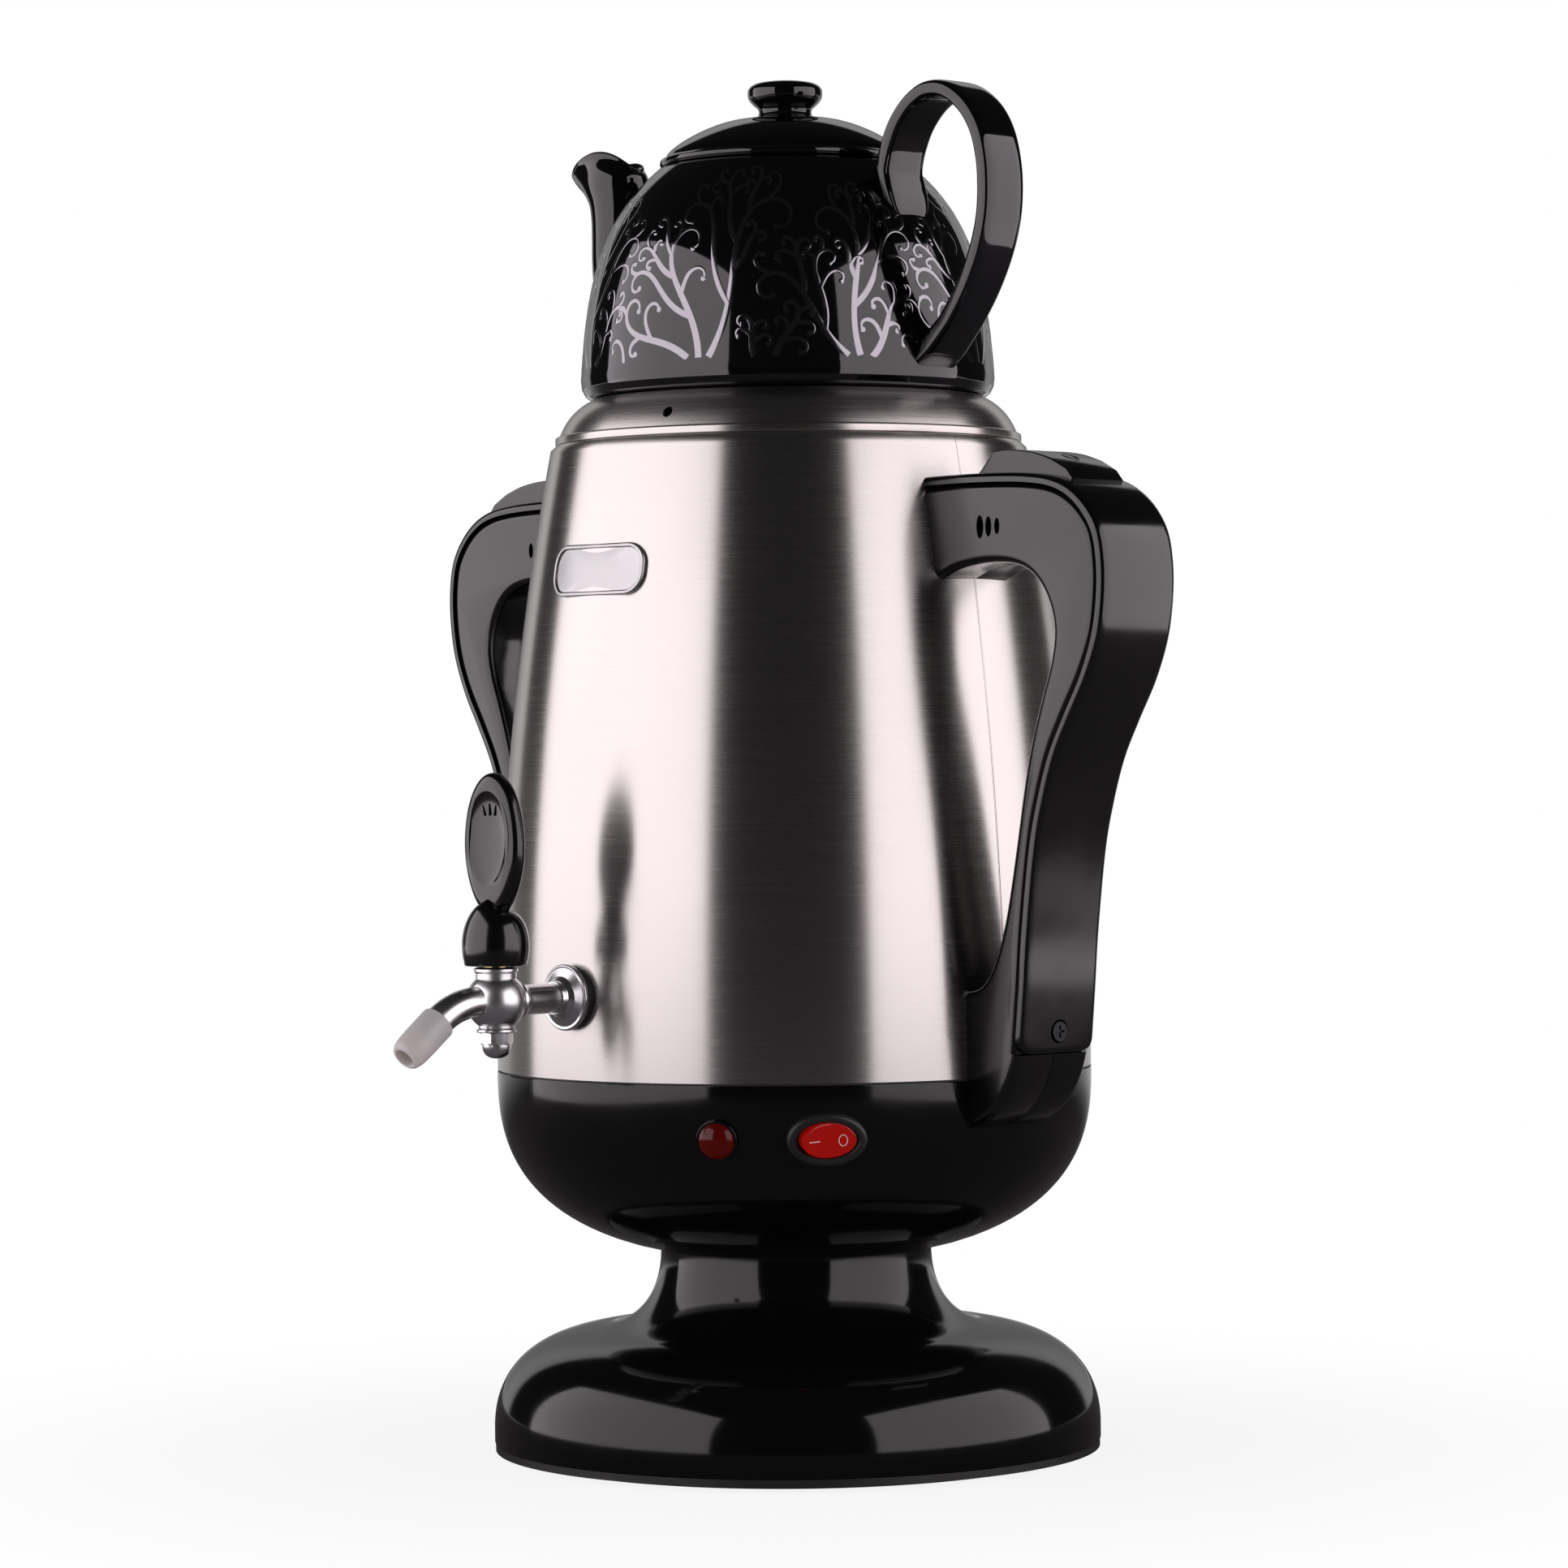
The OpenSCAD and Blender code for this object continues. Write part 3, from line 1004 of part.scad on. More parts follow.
module teapot_lid() color([0.015, 0.015, 0.02]) translate([0, 0, z_pot_top]) {
    rotate_extrude() polygon(concat(
        [[lid_spigot_r - 3, -8], [lid_spigot_r - 0.6, -8], [lid_spigot_r, -7.4], [lid_spigot_r, 0],
            [lid_r - 0.8, 0], [lid_r, 0.8], [lid_r, lid_rim_h - 0.8], [lid_r - 0.8, lid_rim_h]],
        dome(0), flip(dome(3.2)), [[lid_spigot_r - 3, 0]]));
    translate([0, 0, knob_foot]) rotate_extrude() polygon(concat(spline([[knob_r - 1.4, -1],
        [knob_r - 1.6, 1.6], [knob_r - 3.4, 3.2], [knob_r - 3.5, 4.6], [knob_r - 1, knob_h - 7],
        [knob_r, knob_h - 4], [knob_r - 1, knob_h - 1.4], [knob_r - 3.6, knob_h - 0.4]], 3),
        [[0, knob_h], [0, -1]]));
}

anti_slip_ring();
base_plate();
base_screws();
foot_shell();
bowl_shell();
shell_gasket();
tank_shell();
tank_floor();
tank_studs();
stud_nuts();
heat_plate();
heating_element();
thermostat();
thermal_cutout();
sensor_bracket();
power_inlet();
inlet_pins();
inlet_screws();
lamp_holder();
lamp_lens();
lamp_nut();
neon_bulb();
switch_frame();
switch_terminals();
switch_rocker();
badge();
tap_rosette();
tap_body();
tap_seal_outer();
tap_seal_inner();
tap_nut();
nozzle_tip();
tap_plug();
tap_lever();
plug_washer();
acorn_nut();
handle_right_front_half();
handle_right_rear_half();
handle_right_cover();
handle_right_cap();
handle_right_screws();
handle_right_brackets();
handle_left_front_half();
handle_left_rear_half();
handle_left_cover();
handle_left_cap();
handle_left_screws();
handle_left_brackets();
stand_ring();
teapot_body();
teapot_spout();
teapot_handle();
teapot_lid();
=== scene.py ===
"""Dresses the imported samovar: fine surfaces, finishes, a pale studio and the camera.

All lengths inside the classes are in millimetres in the frame of the part: Z up from the
resting plane, the tap along -Y, the handles along X. Meshes are turned into metres once,
when a shape becomes an object.
"""
from __future__ import annotations

import logging
import math
from dataclasses import dataclass, field
from enum import Enum, IntEnum
from typing import Callable, Iterable, Sequence

import bmesh
import bpy
from bmesh.types import BMesh
from bpy.types import ID, Material, Mesh, Node, NodeSocket, NodeTree, Object
from mathutils import Matrix, Vector


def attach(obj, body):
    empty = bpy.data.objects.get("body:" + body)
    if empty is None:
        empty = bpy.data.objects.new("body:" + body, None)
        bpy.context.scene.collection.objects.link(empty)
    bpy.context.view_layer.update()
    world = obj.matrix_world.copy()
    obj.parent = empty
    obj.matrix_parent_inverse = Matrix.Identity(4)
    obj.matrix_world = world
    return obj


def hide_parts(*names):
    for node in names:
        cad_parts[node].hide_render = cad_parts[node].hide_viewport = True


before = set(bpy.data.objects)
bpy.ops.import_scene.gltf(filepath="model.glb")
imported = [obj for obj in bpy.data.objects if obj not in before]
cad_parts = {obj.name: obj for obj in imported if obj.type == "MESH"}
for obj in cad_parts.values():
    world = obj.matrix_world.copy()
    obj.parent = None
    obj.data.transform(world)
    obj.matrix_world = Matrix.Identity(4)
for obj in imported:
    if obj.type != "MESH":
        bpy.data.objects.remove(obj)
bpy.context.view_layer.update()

LOG = logging.getLogger("samovar")
MM = 0.001
TURN = 2 * math.pi
MERGE = 2e-6  # metres: points that are nearer to each other become one
SHARP = 32.0  # degrees: an edge that turns by more stays sharp

Pair = tuple[float, float]
Triple = tuple[float, float, float]
Colour = tuple[float, float, float]


class Body(str, Enum):
    """The moving groups of the part."""

    SAMOVAR = "samovar"
    TAP = "tap_turn"
    ROCKER = "rocker"
    RING = "ring"
    TEAPOT = "teapot"
    LID = "lid"


class Facets(IntEnum):
    """How many pieces go round a turned shape."""

    SHEET = 288
    WALL = 240
    MOULDING = 224
    LID = 200
    TAP = 96
    KNOB = 72
    NUT = 64
    PIPE = 48
    HOLE = 32
    STRAINER = 24


# ---- curves


def bezier(p: Sequence[Pair], steps: int) -> list[Pair]:
    """Points on a cubic Bezier arc.

    Args:
        p: The four control points.
        steps: How many pieces the arc is cut into.

    Returns:
        The points, first and last control point included.
    """
    out = []
    for i in range(steps + 1):
        t = i / steps
        s = 1 - t
        w = (s**3, 3 * s * s * t, 3 * s * t * t, t**3)
        out.append(tuple(sum(w[k] * p[k][a] for k in range(4)) for a in range(len(p[0]))))
    return out


def spline(p: Sequence[Sequence[float]], steps: int) -> list[tuple[float, ...]]:
    """A smooth line through points of any dimension.

    Args:
        p: The points that the line passes through.
        steps: How many pieces each span is cut into.

    Returns:
        The points of the line.
    """
    last = len(p) - 1
    out = []
    for i in range(last):
        a, b, c, d = p[max(i - 1, 0)], p[i], p[i + 1], p[min(i + 2, last)]
        for k in range(steps):
            t = k / steps
            out.append(tuple(
                0.5 * (2 * b[x] + (c[x] - a[x]) * t + (2 * a[x] - 5 * b[x] + 4 * c[x] - d[x]) * t * t
                       + (3 * b[x] - a[x] - 3 * c[x] + d[x]) * t**3)
                for x in range(len(b))))
    out.append(tuple(p[last]))
    return out


def normals(p: Sequence[Pair]) -> list[Pair]:
    """Unit vectors to the right of a line's way.

    Args:
        p: The points of the line.

    Returns:
        One vector for each point.
    """
    out = []
    for i in range(len(p)):
        a, b = p[max(i - 1, 0)], p[min(i + 1, len(p) - 1)]
        dx, dy = b[0] - a[0], b[1] - a[1]
        n = math.hypot(dx, dy) or 1.0
        out.append((dy / n, -dx / n))
    return out


def inset(p: Sequence[Pair], d: float) -> list[Pair]:
    """Moves each point of a line d to the right of its way."""
    return [(q[0] + d * n[0], q[1] + d * n[1]) for q, n in zip(p, normals(p))]


def filleted(p: Sequence[tuple[float, float, float]], steps: int = 5) -> list[Pair]:
    """Rounds the corners of a polyline.

    Args:
        p: Points with the radius at each, 0 for a sharp corner.
        steps: Pieces in each rounded corner.

    Returns:
        The points of the rounded line.
    """
    straight, most = math.pi - 0.02, 0.49
    out: list[Pair] = []
    for i, (x, y, r) in enumerate(p):
        if r <= 0 or i in (0, len(p) - 1):
            out.append((x, y))
            continue
        here = Vector((x, y))
        back = Vector(p[i - 1][:2]) - here
        ahead = Vector(p[i + 1][:2]) - here
        turn = back.angle(ahead)
        if turn > straight:
            out.append((x, y))
            continue
        cut = min(r / math.tan(turn / 2), most * back.length, most * ahead.length)
        a, c = here + back.normalized() * cut, here + ahead.normalized() * cut
        for k in range(steps + 1):
            t = k / steps
            q = a * (1 - t) ** 2 + here * 2 * t * (1 - t) + c * t * t
            out.append((q.x, q.y))
    return out


def box_outline(w: float, h: float, r: float, steps: int = 7) -> list[Pair]:
    """Outline of a rectangle with round corners, anticlockwise.

    Args:
        w: Its width.
        h: Its height.
        r: Radius of its corners.
        steps: Pieces in each corner.

    Returns:
        The points of the outline.
    """
    out = []
    for k, (sx, sy) in enumerate(((1, -1), (1, 1), (-1, 1), (-1, -1))):
        for i in range(steps + 1):
            a = math.radians(-90 + 90 * k + 90 * i / steps)
            out.append((sx * (w / 2 - r) + r * math.cos(a), sy * (h / 2 - r) + r * math.sin(a)))
    return out


def round_points(count: int) -> list[Pair]:
    """Points on a circle of radius 1."""
    return [(math.cos(TURN * i / count), math.sin(TURN * i / count)) for i in range(count)]


def oval_outline(w: float, h: float, steps: int = 64) -> list[Pair]:
    """Outline of an ellipse of width w and height h, anticlockwise."""
    return [(w / 2 * c, h / 2 * s) for c, s in round_points(steps)]


def shrinking(count: int, rest: float) -> list[float]:
    """Shares that fall evenly to nearly nothing, to close a face towards its middle."""
    return [1 - k / (count + rest) for k in range(1, count + 1)]


def level(outline: Sequence[Pair], y: float, z: float = 0.0) -> list[Triple]:
    """An outline of across and up, placed at a distance y and raised by z."""
    return [(x, y, up + z) for x, up in outline]


# ---- meshes


@dataclass
class Shape:
    """A closed mesh that is being gathered, in millimetres."""

    points: list[Triple] = field(default_factory=list)
    faces: list[tuple[int, ...]] = field(default_factory=list)

    def add(self, points: Sequence[Triple], faces: Iterable[Sequence[int]]) -> Shape:
        """Adds points and faces.

        Args:
            points: The new points.
            faces: Their faces, which count from the first new point.

        Returns:
            This shape.
        """
        base = len(self.points)
        self.points.extend(tuple(p) for p in points)
        self.faces.extend(tuple(base + i for i in f) for f in faces)
        return self

    def join(self, other: Shape) -> Shape:
        """Adds all of another shape."""
        return self.add(other.points, other.faces)

    def loft(self, rings: Sequence[Sequence[Triple]], looped: bool = False) -> Shape:
        """Skins rings of equal length, with a flat lid on each end.

        Args:
            rings: The rings in order.
            looped: Whether the last ring joins the first, and there are no lids.

        Returns:
            This shape.
        """
        n, m = len(rings[0]), len(rings)
        faces: list[tuple[int, ...]] = []
        for j in range(m if looped else m - 1):
            a, b = j * n, (j + 1) % m * n
            faces += [(a + i, a + (i + 1) % n, b + (i + 1) % n, b + i) for i in range(n)]
        if not looped:
            faces += [tuple(reversed(range(n))), tuple((m - 1) * n + i for i in range(n))]
        return self.add([p for ring in rings for p in ring], faces)

    def revolve(self, profile: Sequence[Pair], count: int, closed: bool = False) -> Shape:
        """Turns a line of (radius, height) about Z.

        Args:
            profile: The line. Points on the axis become poles.
            count: Pieces around.
            closed: Whether the line's end joins its start.

        Returns:
            This shape.
        """
        points: list[Triple] = []
        rows: list[list[int]] = []
        for r, z in profile:
            if r < 1e-6:
                rows.append([len(points)])
                points.append((0.0, 0.0, z))
                continue
            rows.append(list(range(len(points), len(points) + count)))
            points += [(r * c, r * s, z) for c, s in round_points(count)]
        faces: list[tuple[int, ...]] = []
        for a, b in list(zip(rows, rows[1:])) + ([(rows[-1], rows[0])] if closed else []):
            if len(a) == 1 and len(b) == 1:
                continue
            for i in range(count):
                j = (i + 1) % count
                if len(a) == 1:
                    faces.append((a[0], b[j], b[i]))
                elif len(b) == 1:
                    faces.append((a[i], a[j], b[0]))
                else:
                    faces.append((a[i], a[j], b[j], b[i]))
        return self.add(points, faces)

    def moved(self, matrix: Matrix) -> Shape:
        """Places the whole shape by a matrix."""
        self.points = [tuple(matrix @ Vector(p)) for p in self.points]
        return self

    def shaped(self, rule: Callable[[Triple], Triple]) -> Shape:
        """Moves each point by a rule."""
        self.points = [rule(p) for p in self.points]
        return self

    def object(self, name: str, sharp: float = SHARP) -> Object:
        """Makes a clean object in metres and links it to the scene.

        Args:
            name: Name of the object.
            sharp: Angle in degrees above which an edge stays sharp.

        Returns:
            The object.
        """
        mesh = bpy.data.meshes.new(name)
        mesh.from_pydata([tuple(c * MM for c in p) for p in self.points], [], self.faces)
        cleaned(mesh, sharp, without_slivers)
        return linked(name, mesh)


def linked(name: str, data: ID) -> Object:
    """Makes an object and links it to the scene.

    Args:
        name: Name of the object.
        data: Its mesh, camera or lamp.

    Returns:
        The object.
    """
    obj = bpy.data.objects.new(name, data)
    bpy.context.scene.collection.objects.link(obj)
    return obj


def cleaned(mesh: Mesh, sharp: float,
            mend: Callable[[BMesh], None] | None = None) -> None:
    """Merges the double points of a mesh, turns its faces outwards and marks its sharp edges.

    Args:
        mesh: The mesh, in metres.
        sharp: Angle in degrees above which an edge stays sharp.
        mend: What else is mended, once the points are merged.
    """
    bm = bmesh.new()
    bm.from_mesh(mesh)
    bmesh.ops.remove_doubles(bm, verts=bm.verts, dist=MERGE)
    if mend:
        mend(bm)
    bmesh.ops.recalc_face_normals(bm, faces=bm.faces)
    for face in bm.faces:
        face.smooth = True
    for edge in bm.edges:
        if len(edge.link_faces) == 2:
            edge.smooth = edge.calc_face_angle(0.0) < math.radians(sharp)
    bm.to_mesh(mesh)
    bm.free()


def without_slivers(bm: BMesh) -> None:
    """Dissolves the edges and faces that have no size."""
    bmesh.ops.dissolve_degenerate(bm, edges=bm.edges, dist=MERGE)


def bridged(bm: BMesh) -> None:
    """Closes the gap between the two open rims of a sheet."""
    bmesh.ops.bridge_loops(bm, edges=[edge for edge in bm.edges if len(edge.link_faces) == 1])


def baked(obj: Object) -> Object:
    """Turns the modifiers of an object into plain mesh.

    Args:
        obj: The object.

    Returns:
        The same object, without modifiers.
    """
    bpy.context.view_layer.update()
    graph = bpy.context.evaluated_depsgraph_get()
    mesh = bpy.data.meshes.new_from_object(obj.evaluated_get(graph))
    obj.modifiers.clear()
    obj.data = mesh
    return obj


def carved(obj: Object, cutters: Sequence[Shape]) -> Object:
    """Cuts shapes out of an object.

    Args:
        obj: The object to cut.
        cutters: Closed shapes that don't touch each other.

    Returns:
        The object with its new mesh.
    """
    tools = [cutter.object("cutter") for cutter in cutters]
    for tool in tools:
        cut = obj.modifiers.new("cut", "BOOLEAN")
        cut.operation = "DIFFERENCE"
        cut.solver = "EXACT"
        cut.object = tool
    baked(obj)
    for tool in tools:
        bpy.data.objects.remove(tool)
    cleaned(obj.data, SHARP)
    return obj


# ---- places


def shifted(x: float, y: float, z: float) -> Matrix:
    """A shift in millimetres."""
    return Matrix.Translation((x, y, z))


def turned(degrees: float, axis: str = "Z") -> Matrix:
    """A turn about an axis."""
    return Matrix.Rotation(math.radians(degrees), 4, axis)


def outwards(azimuth: float, distance: float = 0.0, height: float = 0.0, dip: float = 0.0) -> Matrix:
    """Frame whose -Y points away from the axis.

    Args:
        azimuth: Bearing in degrees, turned to the right of the tap.
        distance: How far from the axis its origin is.
        height: Height of its origin.
        dip: How far -Y points below the level, in degrees.

    Returns:
        The matrix of the frame.
    """
    return turned(azimuth) @ shifted(0, -distance, height) @ turned(dip, "X")


FACING = turned(90, "X")  # takes a shape that stands on XY to face -Y


# ---- node graphs


@dataclass
class Wire:
    """A socket that can be used in arithmetic; each operation adds a Math node."""

    graph: Graph
    socket: NodeSocket

    def math(self, operation: str, *others: Wire | float) -> Wire:
        """Adds a Math node of that operation, with this socket first."""
        values = dict(enumerate((self, *others)))
        return self.graph.wire("ShaderNodeMath", 0, {"operation": operation}, values)

    def __add__(self, other: Wire | float) -> Wire:
        """This plus other."""
        return self.math("ADD", other)

    __radd__ = __add__

    def __mul__(self, other: Wire | float) -> Wire:
        """This times other."""
        return self.math("MULTIPLY", other)

    __rmul__ = __mul__

    def __sub__(self, other: Wire | float) -> Wire:
        """This less other."""
        return self.math("SUBTRACT", other)

    def __rsub__(self, other: float) -> Wire:
        """Other less this."""
        return (self * -1.0).math("ADD", other)

    def __truediv__(self, other: Wire | float) -> Wire:
        """This divided by other."""
        return self.math("DIVIDE", other)

    def __rtruediv__(self, other: float) -> Wire:
        """Other divided by this."""
        return self.math("POWER", -1.0) * other

    def __pow__(self, other: Wire | float) -> Wire:
        """This to the power of other."""
        return self.math("POWER", other)

    def __abs__(self) -> Wire:
        """Distance of this from nought."""
        return self.math("ABSOLUTE")

    def step(self, low: float, high: float) -> Wire:
        """Rises smoothly, from 0 where this is low to 1 where it is high."""
        return self.graph.wire("ShaderNodeMapRange", 0, {"interpolation_type": "SMOOTHSTEP"},
                               {"Value": self, "From Min": low, "From Max": high})


@dataclass
class Graph:
    """A shader or geometry node tree that is being built."""

    tree: NodeTree

    def node(self, kind: str, settings: dict[str, object] | None = None,
             values: dict[str | int, object] | None = None) -> Node:
        """Adds a node.

        Args:
            kind: The node's type.
            settings: Its properties, which are set first.
            values: What goes into each input socket, a value, a wire or a socket.

        Returns:
            The node.
        """
        made = self.tree.nodes.new(kind)
        for key, value in (settings or {}).items():
            setattr(made, key, value)
        for key, value in (values or {}).items():
            socket = made.inputs[key]
            if isinstance(value, Wire):
                value = value.socket
            if isinstance(value, NodeSocket):
                self.tree.links.new(value, socket)
            else:
                socket.default_value = value
        return made

    def wire(self, kind: str, output: str | int = 0, settings: dict[str, object] | None = None,
             values: dict[str | int, object] | None = None) -> Wire:
        """Adds a node and wraps one of its outputs."""
        return Wire(self, self.node(kind, settings, values).outputs[output])

    def axes(self, place: NodeSocket) -> list[Wire]:
        """The X, Y and Z of a place."""
        return [Wire(self, part) for part in self.node("ShaderNodeSeparateXYZ", {}, {0: place}).outputs]

    def blend(self, share: Wire, low: Colour, high: Colour) -> NodeSocket:
        """A colour that goes from low to high with a share from 0 to 1."""
        return self.node("ShaderNodeMix", {"data_type": "RGBA"}, {
            "Factor": share, 6: (*low, 1), 7: (*high, 1)}).outputs[2]


# ---- finishes


@dataclass(frozen=True)
class Finish:
    """A smooth finish with a little life in its gloss. Other finishes add to it."""

    slot: str
    colour: Colour = (0.5, 0.5, 0.5)
    roughness: float = 0.4
    metallic: float = 0.0
    coat: float = 0.0
    coat_roughness: float = 0.03
    ior: float = 1.5
    cloud: float = 0.15
    cloud_size: float = 40.0
    grain: float = 0.0
    grain_size: float = 1500.0
    anisotropy: float = 0.0
    sheer: float = 0.0
    soft: float = 0.0
    record: str = ""

    def place(self, g: Graph) -> NodeSocket:
        """Where on the object a pattern reads its place."""
        return g.node("ShaderNodeTexCoord").outputs["Object"]

    def noise(self, g: Graph, scale: float, detail: float = 3.0,
              stretch: Triple | None = None) -> Wire:
        """Noise on the object.

        Args:
            g: The graph.
            scale: Waves in a metre.
            detail: How fine it goes.
            stretch: Scale along each axis, for streaks.

        Returns:
            The noise, from 0 to 1.
        """
        place = self.place(g)
        if stretch:
            place = g.node("ShaderNodeMapping", {}, {"Vector": place, "Scale": stretch}).outputs[0]
        return g.wire("ShaderNodeTexNoise", "Fac", {}, {"Vector": place, "Scale": scale, "Detail": detail})

    def gloss(self, g: Graph) -> Wire:
        """Roughness, a little clouded, as a handled surface is."""
        clouds = self.noise(g, self.cloud_size, 4.0).step(0.3, 0.75)
        return clouds * (self.roughness * self.cloud * 2) + self.roughness * (1 - self.cloud)

    def relief(self, g: Graph) -> Wire | None:
        """Height of the surface in metres, or None where it is even."""
        return self.noise(g, self.grain_size, 2.0) * (self.grain * MM) if self.grain > 0 else None

    def scaled(self, share: float) -> Colour:
        """The colour times a share, kept below white."""
        return tuple(min(c * share, 1.0) for c in self.colour)

    def tint(self, g: Graph) -> NodeSocket:
        """The colour, very slightly uneven."""
        return g.blend(self.noise(g, self.cloud_size * 2.3), self.scaled(0.9), self.scaled(1.08))

    def dress(self, g: Graph, shader: Node) -> None:
        """Lets a special finish change the shader."""

    def build(self) -> Material:
        """Makes the material, once for each finish.

        Returns:
            The material.
        """
        ready = bpy.data.materials.get(self.slot + "_finish")
        if ready:
            return ready
        material = bpy.data.materials.new(self.slot + "_finish")
        material.use_nodes = True
        g = Graph(material.node_tree)
        shader = material.node_tree.nodes["Principled BSDF"]
        for key, value in {"Metallic": self.metallic, "IOR": self.ior, "Coat Weight": self.coat,
                           "Coat Roughness": self.coat_roughness, "Anisotropic": self.anisotropy,
                           "Anisotropic Rotation": 0.25 if self.anisotropy else 0.0,
                           "Transmission Weight": self.sheer, "Subsurface Weight": self.soft}.items():
            shader.inputs[key].default_value = value
        if self.soft:
            shader.inputs["Subsurface Scale"].default_value = 0.004
            shader.inputs["Subsurface Radius"].default_value = (1.0, 0.8, 0.7)
        material.node_tree.links.new(self.tint(g), shader.inputs["Base Color"])
        material.node_tree.links.new(self.gloss(g).socket, shader.inputs["Roughness"])
        height = self.relief(g)
        if height is not None:
            bump = g.node("ShaderNodeBump", {}, {"Strength": 1.0, "Distance": 1.0, "Height": height})
            material.node_tree.links.new(bump.outputs[0], shader.inputs["Normal"])
        self.dress(g, shader)
        return material


@dataclass(frozen=True)
class BrushedSteel(Finish):
    """Sheet steel brushed around its axis, with a weld seam at one side."""

    seam: float = 0.0
    streak: float = 0.5
    contrast: float = 0.11
    stroke_depth: float = 0.0035 * MM
    seam_off: float = 0.0008
    seam_edge: Pair = (0.00008, 0.0004)

    def strokes(self, g: Graph) -> Wire:
        """The brush strokes: very long level streaks of uneven strength."""
        fine = self.noise(g, 1.0, 5.0, (38.0, 38.0, 5200.0))
        broad = self.noise(g, 1.0, 3.0, (14.0, 14.0, 900.0))
        return fine * 0.65 + broad * 0.35

    def relief(self, g: Graph) -> Wire | None:
        """Height of the strokes and of the seam.

        Args:
            g: The graph.

        Returns:
            The height in metres.
        """
        height = self.strokes(g) * (self.stroke_depth * self.streak)
        if self.seam > 0:
            x, y, _ = g.axes(self.place(g))
            aside = abs(y + self.seam_off)
            front = x.step(0.0, 0.001)
            groove = (1 - aside.step(*self.seam_edge)) * front
            height = height - groove * (self.seam * MM)
        return height

    def gloss(self, g: Graph) -> Wire:
        """Roughness that follows the strokes and clouds over where hands wipe it."""
        wiped = self.noise(g, 9.0, 4.0).step(0.35, 0.7)
        rough = self.roughness
        return self.strokes(g) * (0.5 * rough) + wiped * (0.12 * rough) + 0.72 * rough

    def tint(self, g: Graph) -> NodeSocket:
        """Steel with warmer and cooler streaks."""
        return g.blend(self.strokes(g), self.scaled(1 - self.contrast), self.scaled(1 + self.contrast))


@dataclass(frozen=True)
class RedPlastic(Finish):
    """Clear red plastic with a faint painted glow: red emission set in the plastic itself, not light from a
    lamp.
    """

    # strength of the painted glow, a red emission in the plastic itself
    glow: float = 0.0

    def dress(self, g: Graph, shader: Node) -> None:
        """Adds the painted glow: a faint red emission in the plastic that stands in for light; no lit bulb is
        behind it.
        """
        shader.inputs["Emission Color"].default_value = (0.9, 0.02, 0.01, 1)
        shader.inputs["Emission Strength"].default_value = self.glow


JET = (0.0022, 0.0022, 0.0024)

HANDLE = Finish("handle_plastic", JET, 0.15, ior=1.56, coat=0.12, coat_roughness=0.12, cloud=0.25,
                grain=0.0004, grain_size=900, record="black_plastic")
BLACK = Finish("black_plastic", JET, 0.11, ior=1.39, coat=0.1, cloud=0.25, grain=0.0004, grain_size=900)
BEZEL = Finish("bezel_plastic", (0.011, 0.011, 0.0115), 0.4, grain=0.004, grain_size=2600,
               record="black_plastic")
SATIN = Finish("satin_plastic", (0.014, 0.014, 0.014), 0.42, grain=0.012, grain_size=2600)
STEEL = BrushedSteel("brushed_steel", (0.545, 0.52, 0.50), 0.26, 1.0, anisotropy=0.85, seam=0.05)
RING = BrushedSteel("polished_steel", (0.52, 0.49, 0.475), 0.27, 1.0, anisotropy=0.8, streak=2.2,
                    contrast=0.42)
CHROME = Finish("chrome", (0.74, 0.735, 0.74), 0.27, 1.0, cloud=0.3, grain=0.0005, grain_size=300)
OXIDE = Finish("black_oxide", (0.02, 0.02, 0.021), 0.3, 1.0, cloud=0.3, cloud_size=220, grain=0.003,
               record="zinc")
BADGE = Finish("badge_metal", (0.46, 0.45, 0.45), 0.36, 1.0, grain=0.03, grain_size=2600)
PORCELAIN = Finish("black_porcelain", (0.002, 0.002, 0.0026), 0.05, coat=0.2, coat_roughness=0.02,
                   cloud=0.2, grain=0.0016, grain_size=160)
LUSTRE = Finish("scroll_lustre", (0.25, 0.24, 0.26), 0.12, 1.0, coat=0.6, cloud=0.3, cloud_size=400,
                grain=0.0012, grain_size=2400, record="black_porcelain")
RUBBER = Finish("rubber", (0.012, 0.012, 0.012), 0.6, grain=0.02, grain_size=1800)
SILICONE_RED = Finish("silicone_red", (0.42, 0.05, 0.03), 0.45, soft=0.2, grain=0.01)
MILKY = Finish("milky_silicone", (0.74, 0.70, 0.69), 0.34, sheer=0.25, soft=0.6, grain=0.006, ior=1.41)
ZINC = Finish("zinc", (0.55, 0.55, 0.57), 0.3, 1.0, cloud=0.3, cloud_size=220, grain=0.003)
ALUMINIUM = BrushedSteel("aluminium", (0.72, 0.73, 0.74), 0.36, 1.0)
HEATED = Finish("element_steel", (0.16, 0.14, 0.13), 0.5, 1.0, cloud=0.35, cloud_size=90, grain=0.006)
BRASS = Finish("brass", (0.72, 0.53, 0.22), 0.22, 1.0, cloud=0.3, cloud_size=300, grain=0.002)
CERAMIC = Finish("pale_ceramic", (0.7, 0.67, 0.6), 0.75, grain=0.02)
BULB = Finish("glass", (0.95, 0.75, 0.65), 0.05, sheer=0.9, ior=1.46)
# painted glow: the lens gives off a faint red emission of its own
LENS = RedPlastic("red_lens", (0.07, 0.0015, 0.001), 0.16, ior=1.34, sheer=0.1, glow=0.012,
                  grain=0.03, grain_size=700)
# painted glow: emission makes the rocker a brighter, deeper red
ROCKER = RedPlastic("red_rocker", (0.26, 0.001, 0.0008), 0.12, ior=1.36, glow=0.11, grain=0.002)
WHITE = Finish("white_mark", (0.7, 0.52, 0.52), 0.4, record="red_rocker")


def dressed(obj: Object, finish: Finish) -> None:
    """Gives an object one finish all over.

    Args:
        obj: The object.
        finish: Its finish.
    """
    obj.data.materials.clear()
    obj.data.materials.append(finish.build())
    for face in obj.data.polygons:
        face.material_index = 0


